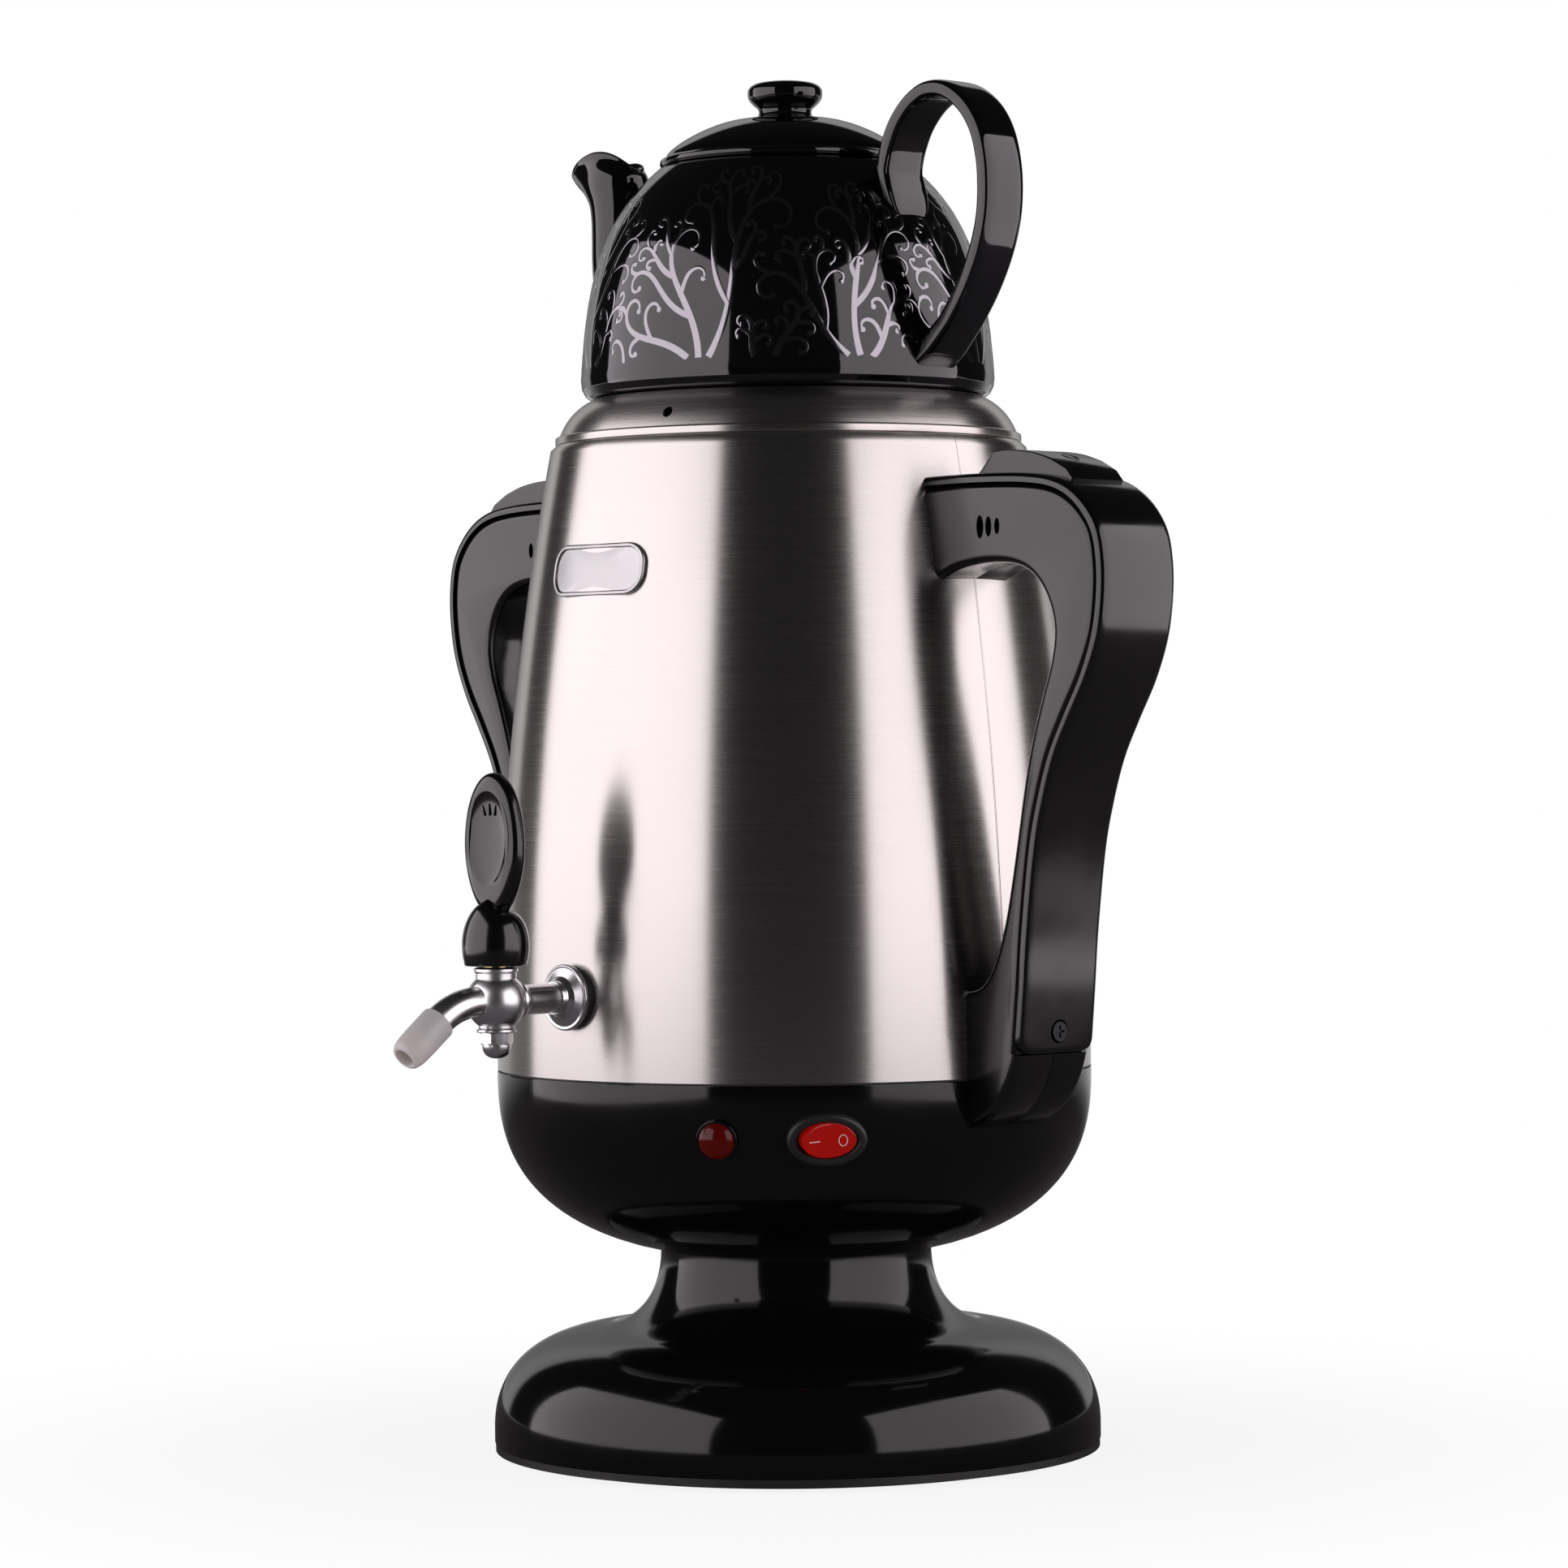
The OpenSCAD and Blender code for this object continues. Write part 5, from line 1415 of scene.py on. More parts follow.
    def blade(self) -> Shape:
        """The paddle: an oval plate with a full round edge and a dished front.

        Returns:
            The paddle, around its middle.
        """
        w, tall, t = self.paddle
        dish_w, dish_h, dish_z = 0.74 * w, 0.64 * tall, 0.045 * tall
        rings = []
        for s, deep in ((0.04, 1.55), (0.3, 1.5), (0.55, 1.35), (0.75, 1.1), (0.9, 0.75), (0.97, 0.38),
                        (1.0, 0.16), (1.03, 0.03), (1.07, 0.0)):
            rings.append(level(oval_outline(dish_w * s, dish_h * s), -t / 2 + deep, dish_z))
        full = 0.8  # power of the edge's curve: 1 is an ellipse, less is fuller
        for k in range(1, 24):
            turn = math.pi * k / 24
            inner = self.paddle_edge * (1 - math.sin(turn) ** full)
            out = t / 2 * (1 - math.copysign(abs(math.cos(turn)) ** full, math.cos(turn)))
            rings.append(level(oval_outline(w - 2 * inner, tall - 2 * inner), -t / 2 + out))
        return Shape().loft(rings).shaped(self.tapered)

    def ridge(self, k: int) -> Shape:
        """One of the three small upright ridges in the paddle's dish.

        Args:
            k: Which one, from -1 on the left to 1 on the right.

        Returns:
            The ridge. The outer two lean and curve, the middle one is longer.
        """
        _, tall, t = self.paddle
        outline = box_outline(self.ridge_l + 0.5 * (k == 0), self.ridge_w, self.ridge_w / 2, 4)
        place = 0.245 * tall - 0.3 * abs(k)
        rings = []
        for y in (1.9 - t / 2, 0.75 - t / 2):
            rings.append([(x + self.ridge_pitch * k + (0.22 * k * (z + 1.7) + 0.05 * k * z * z), y, z + place)
                          for z, x in reversed(outline)])
        return Shape().loft(rings)

    def lever(self) -> Shape:
        """Hub and paddle of the lever.

        Returns:
            Both, with the ridges, on the plug's axis.
        """
        base = self.neck_up + self.hub_gap
        mid = base + self.hub_h - self.paddle_lap + self.paddle[1] / 2
        lever = self.hub().moved(self.axis @ shifted(0, 0, base))
        for part in (self.blade(), self.ridge(-1), self.ridge(0), self.ridge(1)):
            lever.join(part.moved(self.axis @ shifted(0, 0, mid)))
        return lever

    def nut(self) -> Shape:
        """The acorn nut under the plug.

        Returns:
            Its hexagon and its dome.
        """
        r, h, top = self.nut_r, self.nut_h, self.nut_top
        low = 0.46 * h
        rings = []
        for z, cut in ((0.0, 0.55), (-0.35, 0.0), (-low + 0.4, 0.0), (-low, 0.6)):
            ring = []
            for i in range(Facets.PIPE):
                a = TURN * i / Facets.PIPE
                flat = r * math.cos(math.pi / 6) / math.cos((a % (math.pi / 3)) - math.pi / 6)
                reach = min(flat, r - cut * 0.9)
                ring.append((reach * math.cos(a), reach * math.sin(a), top + z))
            rings.append(ring)
        q = 0.86 * r
        dome = bezier([(q, top - 0.5 * h), (q, top - 0.85 * h), (0.5 * r, top - h), (0, top - h)], 14)
        shape = Shape().loft(rings).revolve([(0, top - 0.3 * h), (q, top - 0.3 * h)] + dome, Facets.NUT)
        return shape.moved(self.axis)

    def washer_ring(self) -> Shape:
        """The flat washer over the nut."""
        bore, r, top = self.washer
        line = filleted([(bore, top, 0), (r, top, 0.3), (r, top - 1, 0.3), (bore, top - 1, 0)])
        return Shape().revolve(line, Facets.KNOB, closed=True).moved(self.axis)

    def build(self) -> None:
        """Makes the tap."""
        self.piece(self.body().object("tap_casting"), CHROME, "tap_body")
        self.piece(self.rosette().object("tap_cone", 50), CHROME, "tap_rosette")
        self.piece(self.nozzle().object("nozzle_soft"), MILKY, "nozzle_tip")
        self.piece(self.lever().object("lever_moulding", 40), HANDLE, "tap_lever", body=Body.TAP)
        self.piece(self.nut().object("nut_acorn", 25), CHROME, "acorn_nut", body=Body.TAP)
        self.piece(self.washer_ring().object("washer_plain"), CHROME, "plug_washer", body=Body.TAP)
        self.carry_over(BRASS, "tap_plug")
        self.carry_over(CHROME, "tap_nut")
        self.carry_over(SILICONE_RED, "tap_seal_inner")


class Side(Enum):
    """Which side of the samovar a handle is on, seen from the tap."""

    RIGHT = "right"
    LEFT = "left"


@dataclass
class Handle(Assembly):
    """One of the two big handles: two moulded halves, a cover strip, a cap and screws."""

    side: Side = Side.RIGHT
    width: float = 34.0
    cover_t: float = 3.0
    round_r: float = 3.0
    sink: float = 0.25
    vent: Pair = (106.7, 307.6)
    vent_pitch: float = 3.8
    cover_end_r: float = 4.5
    cover_end_l: float = 1.2
    cap_side: float = 12.0
    screw: Pair = (120.4, 145.5)
    plug: Pair = (130.8, 329.55)
    plug_size: Pair = (3.3, 2.3)
    plug_slope: float = 0.27
    cover_line: list[Pair] = field(default_factory=lambda: spline([
        (76, 324.8), (104, 325), (127, 324.1), (141, 321.5), (151, 315.4), (158, 306), (160.4, 295),
        (160.2, 283), (157.9, 270.5), (152.6, 257.5), (145, 244.5), (138.6, 232.5), (133.6, 218), (130, 203),
        (126.6, 178), (124.8, 158), (122.9, 138.5)], 8))
    heel_line: list[Pair] = field(default_factory=lambda: spline([
        (121.2, 138.2), (119.8, 133.5), (116.4, 126.5), (111, 120.3), (104, 116), (96, 113.6),
        (86, 112.6)], 5))
    grip_line: list[Pair] = field(default_factory=lambda: spline([
        (72, 290.8), (86, 291.3), (95.5, 294.4), (108, 296), (120.5, 295.2), (129, 291.4), (134.9, 284),
        (137.7, 274.5), (136.2, 264), (131.9, 252), (127.3, 238), (123.8, 223.5), (120.8, 208),
        (117.9, 193.5), (114.8, 180.5), (111, 170), (106, 162), (99.5, 158.9), (86, 158.5)], 6))

    @property
    def turn(self) -> Matrix:
        """Turns a piece that is drawn on the right to this handle's side."""
        return turned(0 if self.side is Side.RIGHT else 180)

    def against(self, x: float, z: float, across: float) -> Triple:
        """Keeps a point of the handle from passing through the wall behind it."""
        r = SIZES.wall_at(z) - self.sink
        return (max(x, math.sqrt(max(r * r - across * across, 0.0))), across, z)

    def ring(self, d: float, across: float) -> list[Triple]:
        """Outline of the handle's frame at one distance across.

        Args:
            d: How far the outline is drawn in.
            across: Distance from the handle's middle plane, along Y.

        Returns:
            The outline, as a closed loop.
        """
        outer = inset(self.cover_line, self.cover_t + 0.05 + d) + inset(self.heel_line, d)
        grip = inset(self.grip_line, -d)
        low = [(0.0, outer[-1][1] + (grip[-1][1] - outer[-1][1]) * k / 14) for k in range(1, 14)]
        high = [(0.0, grip[0][1] + (outer[0][1] - grip[0][1]) * k / 10) for k in range(1, 10)]
        return [self.against(x, z, across) for x, z in outer + low + grip[::-1] + high]

    def half(self, sign: float) -> Shape:
        """One moulded half.

        Args:
            sign: -1 for the half in front of the middle plane, 1 for the one behind it.

        Returns:
            The half, with a rounded outer edge.
        """
        r, w = self.round_r, self.width / 2
        rows = [(0.35, 0.03), (0.1, 0.12), (0.0, 0.4), (0.0, w - r)]
        for degrees in range(15, 91, 15):
            a = math.radians(degrees)
            rows.append((r * (1 - math.cos(a)), w - r * (1 - math.sin(a))))
        return Shape().loft([self.ring(d, sign * across) for d, across in rows])

    def vents(self, sign: float) -> list[Shape]:
        """Cutters for the three oval slots in the side of a half.

        Args:
            sign: Which half, as for half.

        Returns:
            The cutters.
        """
        x0, z0 = self.vent
        w = self.width / 2
        cuts = []
        for k, (tall, wide) in enumerate(((6.9, 2.9), (6.0, 2.5), (4.9, 2.1))):
            outline = oval_outline(wide, tall, 28)
            cuts.append(Shape().loft([
                [(x0 + self.vent_pitch * k + x * s, sign * y, z0 + z * s) for x, z in outline]
                for y, s in ((w - 2.6, 0.9), (w - 0.3, 1.0), (w + 0.1, 1.12), (w + 2, 1.12))]))
        return cuts

    def cover(self) -> Shape:
        """The outer strip with rounded edges and a rounded lower end.

        Returns:
            The strip.
        """
        line, deepest = self.cover_line, self.cover_t
        run = [0.0]
        for a, b in zip(line, line[1:]):
            run.append(run[-1] + math.hypot(b[0] - a[0], b[1] - a[1]))
        corner, end = self.cover_end_r, self.cover_end_l
        extra = [run[-1] - left for left in (4.2, 3.0, 2.0, 1.2, 0.6, 0.25)]
        rings = []
        for s in sorted([s for s in run if s < run[-1] - corner - 0.3] + extra + [run[-1]]):
            k = min(max(i for i in range(len(run)) if run[i] <= s + 1e-9), len(run) - 2)
            f = (s - run[k]) / (run[k + 1] - run[k])
            p = tuple(line[k][a] + f * (line[k + 1][a] - line[k][a]) for a in (0, 1))
            n = normals(line)[k + (1 if f > 0.5 else 0)]
            left = run[-1] - s
            narrow = corner - math.sqrt(max(corner**2 - (corner - left) ** 2, 0.0)) if left < corner else 0.0
            lift = 0.9 * (1 - math.sqrt(left / end)) if left < end else 0.0
            half = self.width / 2 - narrow
            edge = [(half, deepest), (half, 2.0), (half - 0.2, 1.15), (half - 0.75, 0.5), (half - 1.6, 0.14),
                    (half - 3.0, 0.0)]
            section = [(-across, deep) for across, deep in edge] + [(0.0, 0.0)] + edge[::-1]
            ring = []
            for across, deep in section:
                deep = min(deep + lift, deepest)
                ring.append(self.against(p[0] + deep * n[0], p[1] + deep * n[1], across))
            rings.append(ring)
        return Shape().loft(rings)

    def recess(self) -> Shape:
        """Cutter for the countersunk hole of the lower screw."""
        line = [(0, 0), (3.55, 0), (3.9, 3.6), (4.15, 4.2), (4.6, 4.6), (4.6, 12), (0, 12)]
        x, z = self.screw
        return Shape().revolve(line, Facets.PIPE).moved(shifted(x, 0, z) @ turned(90, "Y"))

    def cap(self) -> Shape:
        """The raised cap over the upper screw.

        Returns:
            The cap, with rounded sides.
        """
        top = spline([(107.5, 332.0), (113, 332.3), (120, 331.8), (127, 330.6), (134, 328.4)], 4)
        outline = [(100.4, 324.6), (102.2, 326.1)] + top + [
            (140.4, 325.0), (143.2, 321.6), (141.6, 319.6), (133, 322.0), (122, 323.4), (111, 324.2)]
        w, middle, reach = self.cap_side, 121.0, 20
        rows = [(w, 1.6), (w, 0.9), (w - 0.15, 0.45), (w - 0.5, 0.12), (w - 1, 0.0)]

        def down(z: float) -> float:
            """Share of the rounding that lowers a point: most on top, and upwards on the underside."""
            return 0.9 if z > 327 else 0.25 if z > 324.9 else -0.2

        levels = [(-across, d) for across, d in rows] + [(across, d) for across, d in reversed(rows)]
        return Shape().loft([[(x - d * (x - middle) / reach, across, z - d * down(z)) for x, z in outline]
                             for across, d in levels])

    def plug_ring(self) -> Shape:
        """The fine oval line around the cap's plug.

        Returns:
            A thin ring that slopes with the cap.
        """
        (x0, z0), (wide, deep) = self.plug, self.plug_size
        rings = []
        for u, v in round_points(40):
            ring = []
            for c, s in round_points(6):
                x = x0 + (wide + 0.16 * c) * u
                ring.append((x, (deep + 0.16 * c) * v, z0 - self.plug_slope * (x - x0) + 0.13 * s))
            rings.append(ring)
        return Shape().loft(rings, looped=True)

    def build(self) -> None:
        """Makes the handle, drawn on the right and then turned to its side."""
        name = "handle_" + self.side.value
        front = -1.0 if self.side is Side.RIGHT else 1.0
        for part, sign in (("front", front), ("rear", -front)):
            half = carved(self.half(sign).object(f"{name}_{part}_moulding", 30), self.vents(sign))
            half.data.transform(self.turn)
            self.piece(half, HANDLE, f"{name}_{part}_half")
        cover = carved(self.cover().object(f"{name}_strip", 30), [self.recess()])
        cover.data.transform(self.turn)
        self.piece(cover, HANDLE, f"{name}_cover")
        cap = self.cap().moved(self.turn).object(f"{name}_plate", 25)
        self.piece(cap, HANDLE, f"{name}_cap")
        ring = self.plug_ring().moved(self.turn).object(f"{name}_plug_ring", 60)
        self.piece(ring, HANDLE)
        self.carry_over(OXIDE, f"{name}_screws")
        self.carry_over(ZINC, f"{name}_brackets")


@dataclass
class TeapotRing(Assembly):
    """The steel ring between the tank and the teapot."""

    height: float = 15.5
    bead: float = 78.7
    top_r: float = 66.5
    hole_r: float = 55.0
    skirt_r: float = 77.0
    skirt_h: float = 9.0
    steam_az: float = 15.0
    steam_r: float = 1.75

    def section(self) -> list[Pair]:
        """The ring's section, from the inside of its skirt round to the same place.

        Returns:
            Points of (radius, height above the tank's mouth).
        """
        h, b, k, t, hole = self.height, self.bead, self.skirt_r, self.top_r, self.hole_r
        deep = self.skirt_h
        outer = filleted([(k, -deep, 0), (k, 0, 0), (b - 0.6, 0, 0), (b, 0.35, 0.3), (b + 0.02, 1.5, 0.5),
                          (b, 2.6, 0.5), (b - 0.8, 3.05, 0.3)], 4)
        wall = bezier([(b - 1.4, 3.1), (b - 3.1, 0.5 * h), (b - 6, 0.78 * h), (t, h - 0.25)], 24)
        top = filleted([(t - 0.2, h - 0.12, 0), (t - 0.7, h, 0.2), (hole + 1, h, 0.5), (hole, h - 1, 0.5),
                        (hole, h - 5, 0), (hole + 1, h - 5, 0), (hole + 1, h - 1.6, 0.3),
                        (t - 0.9, h - 1.2, 0.3)], 4)
        inner = bezier([(t - 0.4, h - 1.4), (b - 7.4, 0.78 * h - 0.7), (b - 4.1, 0.5 * h - 0.4),
                        (k - 1, 3.2)], 16)
        return outer + wall + top + inner + [(k - 1, -deep)]

    def build(self) -> None:
        """Makes the ring and drills its steam hole."""
        profile = [(r, z + SIZES.mouth) for r, z in self.section()]
        ring = Shape().revolve(profile, Facets.WALL, closed=True).object("ring_spun", 40)
        r = self.steam_r
        hole = Shape().revolve([(0, 58), (r, 58), (r, 76.0), (2.3, 82), (0, 82)], Facets.HOLE)
        hole.moved(outwards(self.steam_az, 0, SIZES.mouth + 0.49 * self.height) @ FACING)
        self.piece(carved(ring, [hole]), RING, "stand_ring", body=Body.RING)


@dataclass
class Teapot(Assembly):
    """The black porcelain teapot with its lid."""

    radius: float = 69.9
    height: float = 78.5
    foot_up: float = 6.5
    foot_r: float = 54.4
    foot_h: float = 2.5
    mouth_r: float = 42.0
    wall: float = 3.5
    hole_r: float = 36.0
    turn_deg: float = 1.5
    strainer_r: float = 2.4
    strainer_z: float = 22.0
    strainer_pitch: float = 7.0
    lid_r: float = 42.6
    spigot_gap: float = 0.6
    dome_h: float = 15.6
    knob_r: float = 12.6
    knob_h: float = 15.0
    tube_points: int = 56

    @property
    def place(self) -> Matrix:
        """Frame of the teapot: on the ring, turned, with its handle along X."""
        return shifted(0, 0, SIZES.seat) @ turned(self.turn_deg)

    def side(self, w: float = 0.0, steps: int = 60) -> list[Pair]:
        """Line of the teapot's wall, drawn in by w.

        Args:
            w: How far it is drawn in.
            steps: How many pieces the line has.

        Returns:
            Its points, from the foot up to the mouth.
        """
        r, h, m = self.radius, self.height, self.mouth_r
        return bezier([(r - w, self.foot_up), (r - 2.2 - w, 0.53 * h), (m + 20.2 - w, 0.79 * h - 0.5 * w),
                       (m - w / 2, h - w)], steps)

    def pot(self) -> Shape:
        """The hollow body.

        Returns:
            The body, on its seat.
        """
        r, h, hole, wall, up = self.radius, self.height, self.hole_r, self.wall, self.foot_up
        low = filleted([(0, -self.foot_h, 0), (self.foot_r, -self.foot_h, 0.8), (self.foot_r, 0, 0.2),
                        (r - 5.4, 0, 1.2), (r - 1.8, 1.0, 1.2), (r - 0.35, 3.6, 1.5), (r, up, 0)], 6)
        top = [(self.mouth_r - 1.0, h), (hole + 0.8, h), (hole, h - 0.8), (hole, h - wall)]
        inner = [(q, z) for q, z in reversed(self.side(wall, 30)) if q > hole + 0.3]
        floor = filleted([(r - wall, up, 0), (r - wall - 1.2, 3.0, 2.5), (60, 1.0, 3), (0, 1.0, 0)], 6)
        profile = low[:-1] + self.side()[:-1] + top + inner + floor
        return Shape().revolve(profile, Facets.WALL).moved(self.place)

    def strainer(self) -> list[Shape]:
        """Cutters for the strainer, two rows of three holes between body and spout."""
        r, pitch = self.strainer_r, self.strainer_pitch
        cuts = []
        for k in (-1, 0, 1):
            for j in (0, 1):
                cut = Shape().revolve([(0, 50), (r, 50), (r, 75), (0, 75)], Facets.STRAINER)
                cut.moved(shifted(0, 0, self.strainer_z) @ FACING)
                cuts.append(cut.moved(self.place @ turned(-90) @ shifted(pitch * k, 0, pitch * j)))
        return cuts

    def ahead(self, path: Sequence[Sequence[float]], i: int) -> Vector:
        """Direction of a path at one of its points, as across and up."""
        a, b = path[max(i - 1, 0)], path[min(i + 1, len(path) - 1)]
        return Vector((b[0] - a[0], b[1] - a[1])).normalized()

    def spout_hoop(self, path: Sequence[Sequence[float]], i: int, thin: float) -> list[Triple]:
        """A ring across the spout, which turns level and spreads into a lip at the end.

        Args:
            path: The spout's line: across, up, depth and half width.
            i: Which of its points.
            thin: How much smaller the ring is than the outside.

        Returns:
            The ring.
        """
        t = self.ahead(path, i)
        x, z, deep, wide = path[i]
        late = max(0.0, (i - 0.72 * len(path)) / (0.28 * len(path)))
        t = Vector((t.x * (1 - late), t.y + late)).normalized()
        ring = []
        for c, s in round_points(self.tube_points):
            out = (deep - thin) * c * (1.0 if c > 0 else 1 - 0.16 * late)
            bow = late * late * (6.4 + 1.8 * s - 6.0 * (c**1.5 if c > 0 else abs(c) ** 3))
            ring.append((x + t.y * out, (wide - thin) * s, z - t.x * out + bow))
        return ring

    def spout(self) -> Shape:
        """The spout with its curled lip, hollow inside.

        Returns:
            The spout, on the far side of the handle.
        """
        line = [(56, 14.0, 17.0, 15.6), (63, 20.0, 15.2, 14.2), (70, 27.0, 13.4, 12.6),
                (75.5, 34.5, 12.0, 11.5), (79.6, 43.0, 11.1, 10.8), (81.4, 52.0, 10.5, 10.3),
                (81.7, 60.0, 10.3, 10.1), (81.8, 67.5, 10.4, 10.1), (82.2, 73.6, 11.3, 10.3),
                (83.8, 78.6, 13.6, 10.6), (87.0, 82.2, 17.0, 8.6)]
        path = spline(line, 5)
        last = len(path) - 1
        rings = [self.spout_hoop(path, i, 0.0) for i in range(last + 1)]
        tips = rings[-1]
        middle = sum(p[0] for p in tips) / len(tips)
        for grow, up in ((0.35, 0.5), (0.1, 1.15), (-0.7, 1.5), (-1.6, 1.2), (-2.2, 0.4)):
            ring = []
            for x, y, z in tips:
                v = Vector((x - middle, y))
                v = v + v.normalized() * grow
                ring.append((middle + v.x, v.y, z + up))
            rings.append(ring)
        rings += [self.spout_hoop(path, i, 2.8) for i in range(last - 1, 2, -2)]
        return Shape().loft(rings).moved(self.place @ turned(180))

    def handle(self) -> Shape:
        """The broad ribbon of the handle, thin at its upper tip.

        Returns:
            The handle, from its upper tip down to the body.
        """
        thin, broad = 2.9, 9.3
        tip = [(58.3, 55.6, 0.8, 5.0), (57.3, 59.0, 1.8, 8.2), (55.6, 63.2, 2.7, 9.5), (53.9, 67.6, 3.1, 9.8),
               (53.0, 72.3, 3.0, 9.5)]
        bow = [(54.0, 77.0), (55.6, 81.4), (58.2, 86.4), (61.8, 90.8), (66.2, 94.4), (72.0, 97.0),
               (78.5, 97.0), (84.5, 94.5), (90.6, 89.3)]
        foot = [(95.1, 82.0, thin, 9.2), (97.6, 73.0, thin, 9.2), (98.3, 64.0, thin, 9.2),
                (97.6, 54.9, thin, 9.1), (95.3, 46.3, thin, 9.0), (91.9, 38.4, thin, 8.9),
                (87.1, 30.2, 3.0, 8.8), (80.9, 22.0, 3.1, 8.8), (76.6, 17.7, 3.3, 9.0),
                (71.6, 13.3, 3.8, 9.5), (66.0, 9.6, 4.4, 10.0)]
        path = spline(tip + [(x, z, thin, broad) for x, z in bow] + foot, 6)
        rings = []
        for i, (x, z, thick, wide) in enumerate(path):
            t = self.ahead(path, i)
            ring = []
            for c, s in round_points(self.tube_points):
                u = math.copysign(abs(c) ** 0.45, c) * thick
                v = math.copysign(abs(s) ** 0.4, s) * wide
                ring.append((x + t.y * u, v, z - t.x * u))
            rings.append(ring)
        return Shape().loft(rings).moved(self.place)

    def lid(self) -> Shape:
        """The lid with its spigot, its dome and its knob.

        Returns:
            The lid, in its seat.
        """
        r, h, spigot = self.lid_r, self.dome_h, self.hole_r - self.spigot_gap
        dome_r = r - 2.0
        rim = filleted([(spigot - 3, -8, 0), (spigot, -8, 0.8), (spigot, 0, 0.2), (r - 0.6, 0, 0.5),
                        (r, 1.0, 0.8), (r - 0.2, 2.2, 0.7), (r - 1.4, 2.9, 0.5), (dome_r - 0.2, 3.2, 0.4),
                        (dome_r - 0.5, 4.2, 0)])
        dome = bezier([(dome_r - 0.5, 4.2), (dome_r - 3.0, 7.9), (0.5 * r, h + 1.5), (11.6, h - 0.1)], 30)
        k, z = self.knob_r, h - 2
        knob = spline([(11.3, z + 2.3), (9.6, z + 3.1), (8.9, z + 4.6), (9.2, z + 6.0), (10.8, z + 7.4),
                       (12.2, z + 9.2), (k, z + 11.0), (12.3, z + 12.8), (10.6, z + 14.2), (7.6, z + 14.85),
                       (4, z + self.knob_h), (0, z + self.knob_h + 0.05)], 5)
        under = bezier([(dome_r - 3.2, 1.0), (dome_r - 5.6, 5.0), (0.46 * r, h - 1), (0, h - 3.4)], 20)[::-1]
        profile = under + [(spigot - 3, 0)] + rim + dome[1:] + knob
        return Shape().revolve(profile, Facets.LID).moved(shifted(0, 0, SIZES.pot_top))

    def build(self) -> None:
        """Makes the teapot and its lid."""
        body = carved(self.pot().object("teapot_moulding"), self.strainer())
        self.piece(body, PORCELAIN, "teapot_body", body=Body.TEAPOT)
        for name, shape in (("teapot_spout", self.spout()), ("teapot_handle", self.handle())):
            self.piece(shape.object(f"{name}_cast", 60), PORCELAIN, name, body=Body.TEAPOT)
        self.piece(self.lid().object("teapot_lid_cast"), PORCELAIN, "teapot_lid", body=Body.LID)


@dataclass
class Stroke:
    """One tapering curl of the scroll pattern, in the unrolled plane of the teapot."""

    start: Pair
    heading: float
    length: float
    bend: Pair
    width: Pair
    power: float
    steps: int

    def walk(self) -> list[tuple[float, float, float, float]]:
        """Follows the stroke.

        Returns:
            Points along it: across, up, heading in radians and half width.
        """
        x, y = self.start
        head = math.radians(self.heading)
        out = []
        ds = self.length / self.steps
        for i in range(self.steps + 1):
            t = i / self.steps
            half = self.width[0] + (self.width[1] - self.width[0]) * t * t
            out.append((x, y, head, half))
            x += math.cos(head) * ds
            y += math.sin(head) * ds
            head += (self.bend[0] + (self.bend[1] - self.bend[0]) * t**self.power) * ds
        return out

    def at(self, t: float) -> tuple[Pair, float]:
        """Place and heading in degrees at a share of the stroke's length."""
        x, y, head, _ = self.walk()[round(t * self.steps)]
        return (x, y), math.degrees(head)


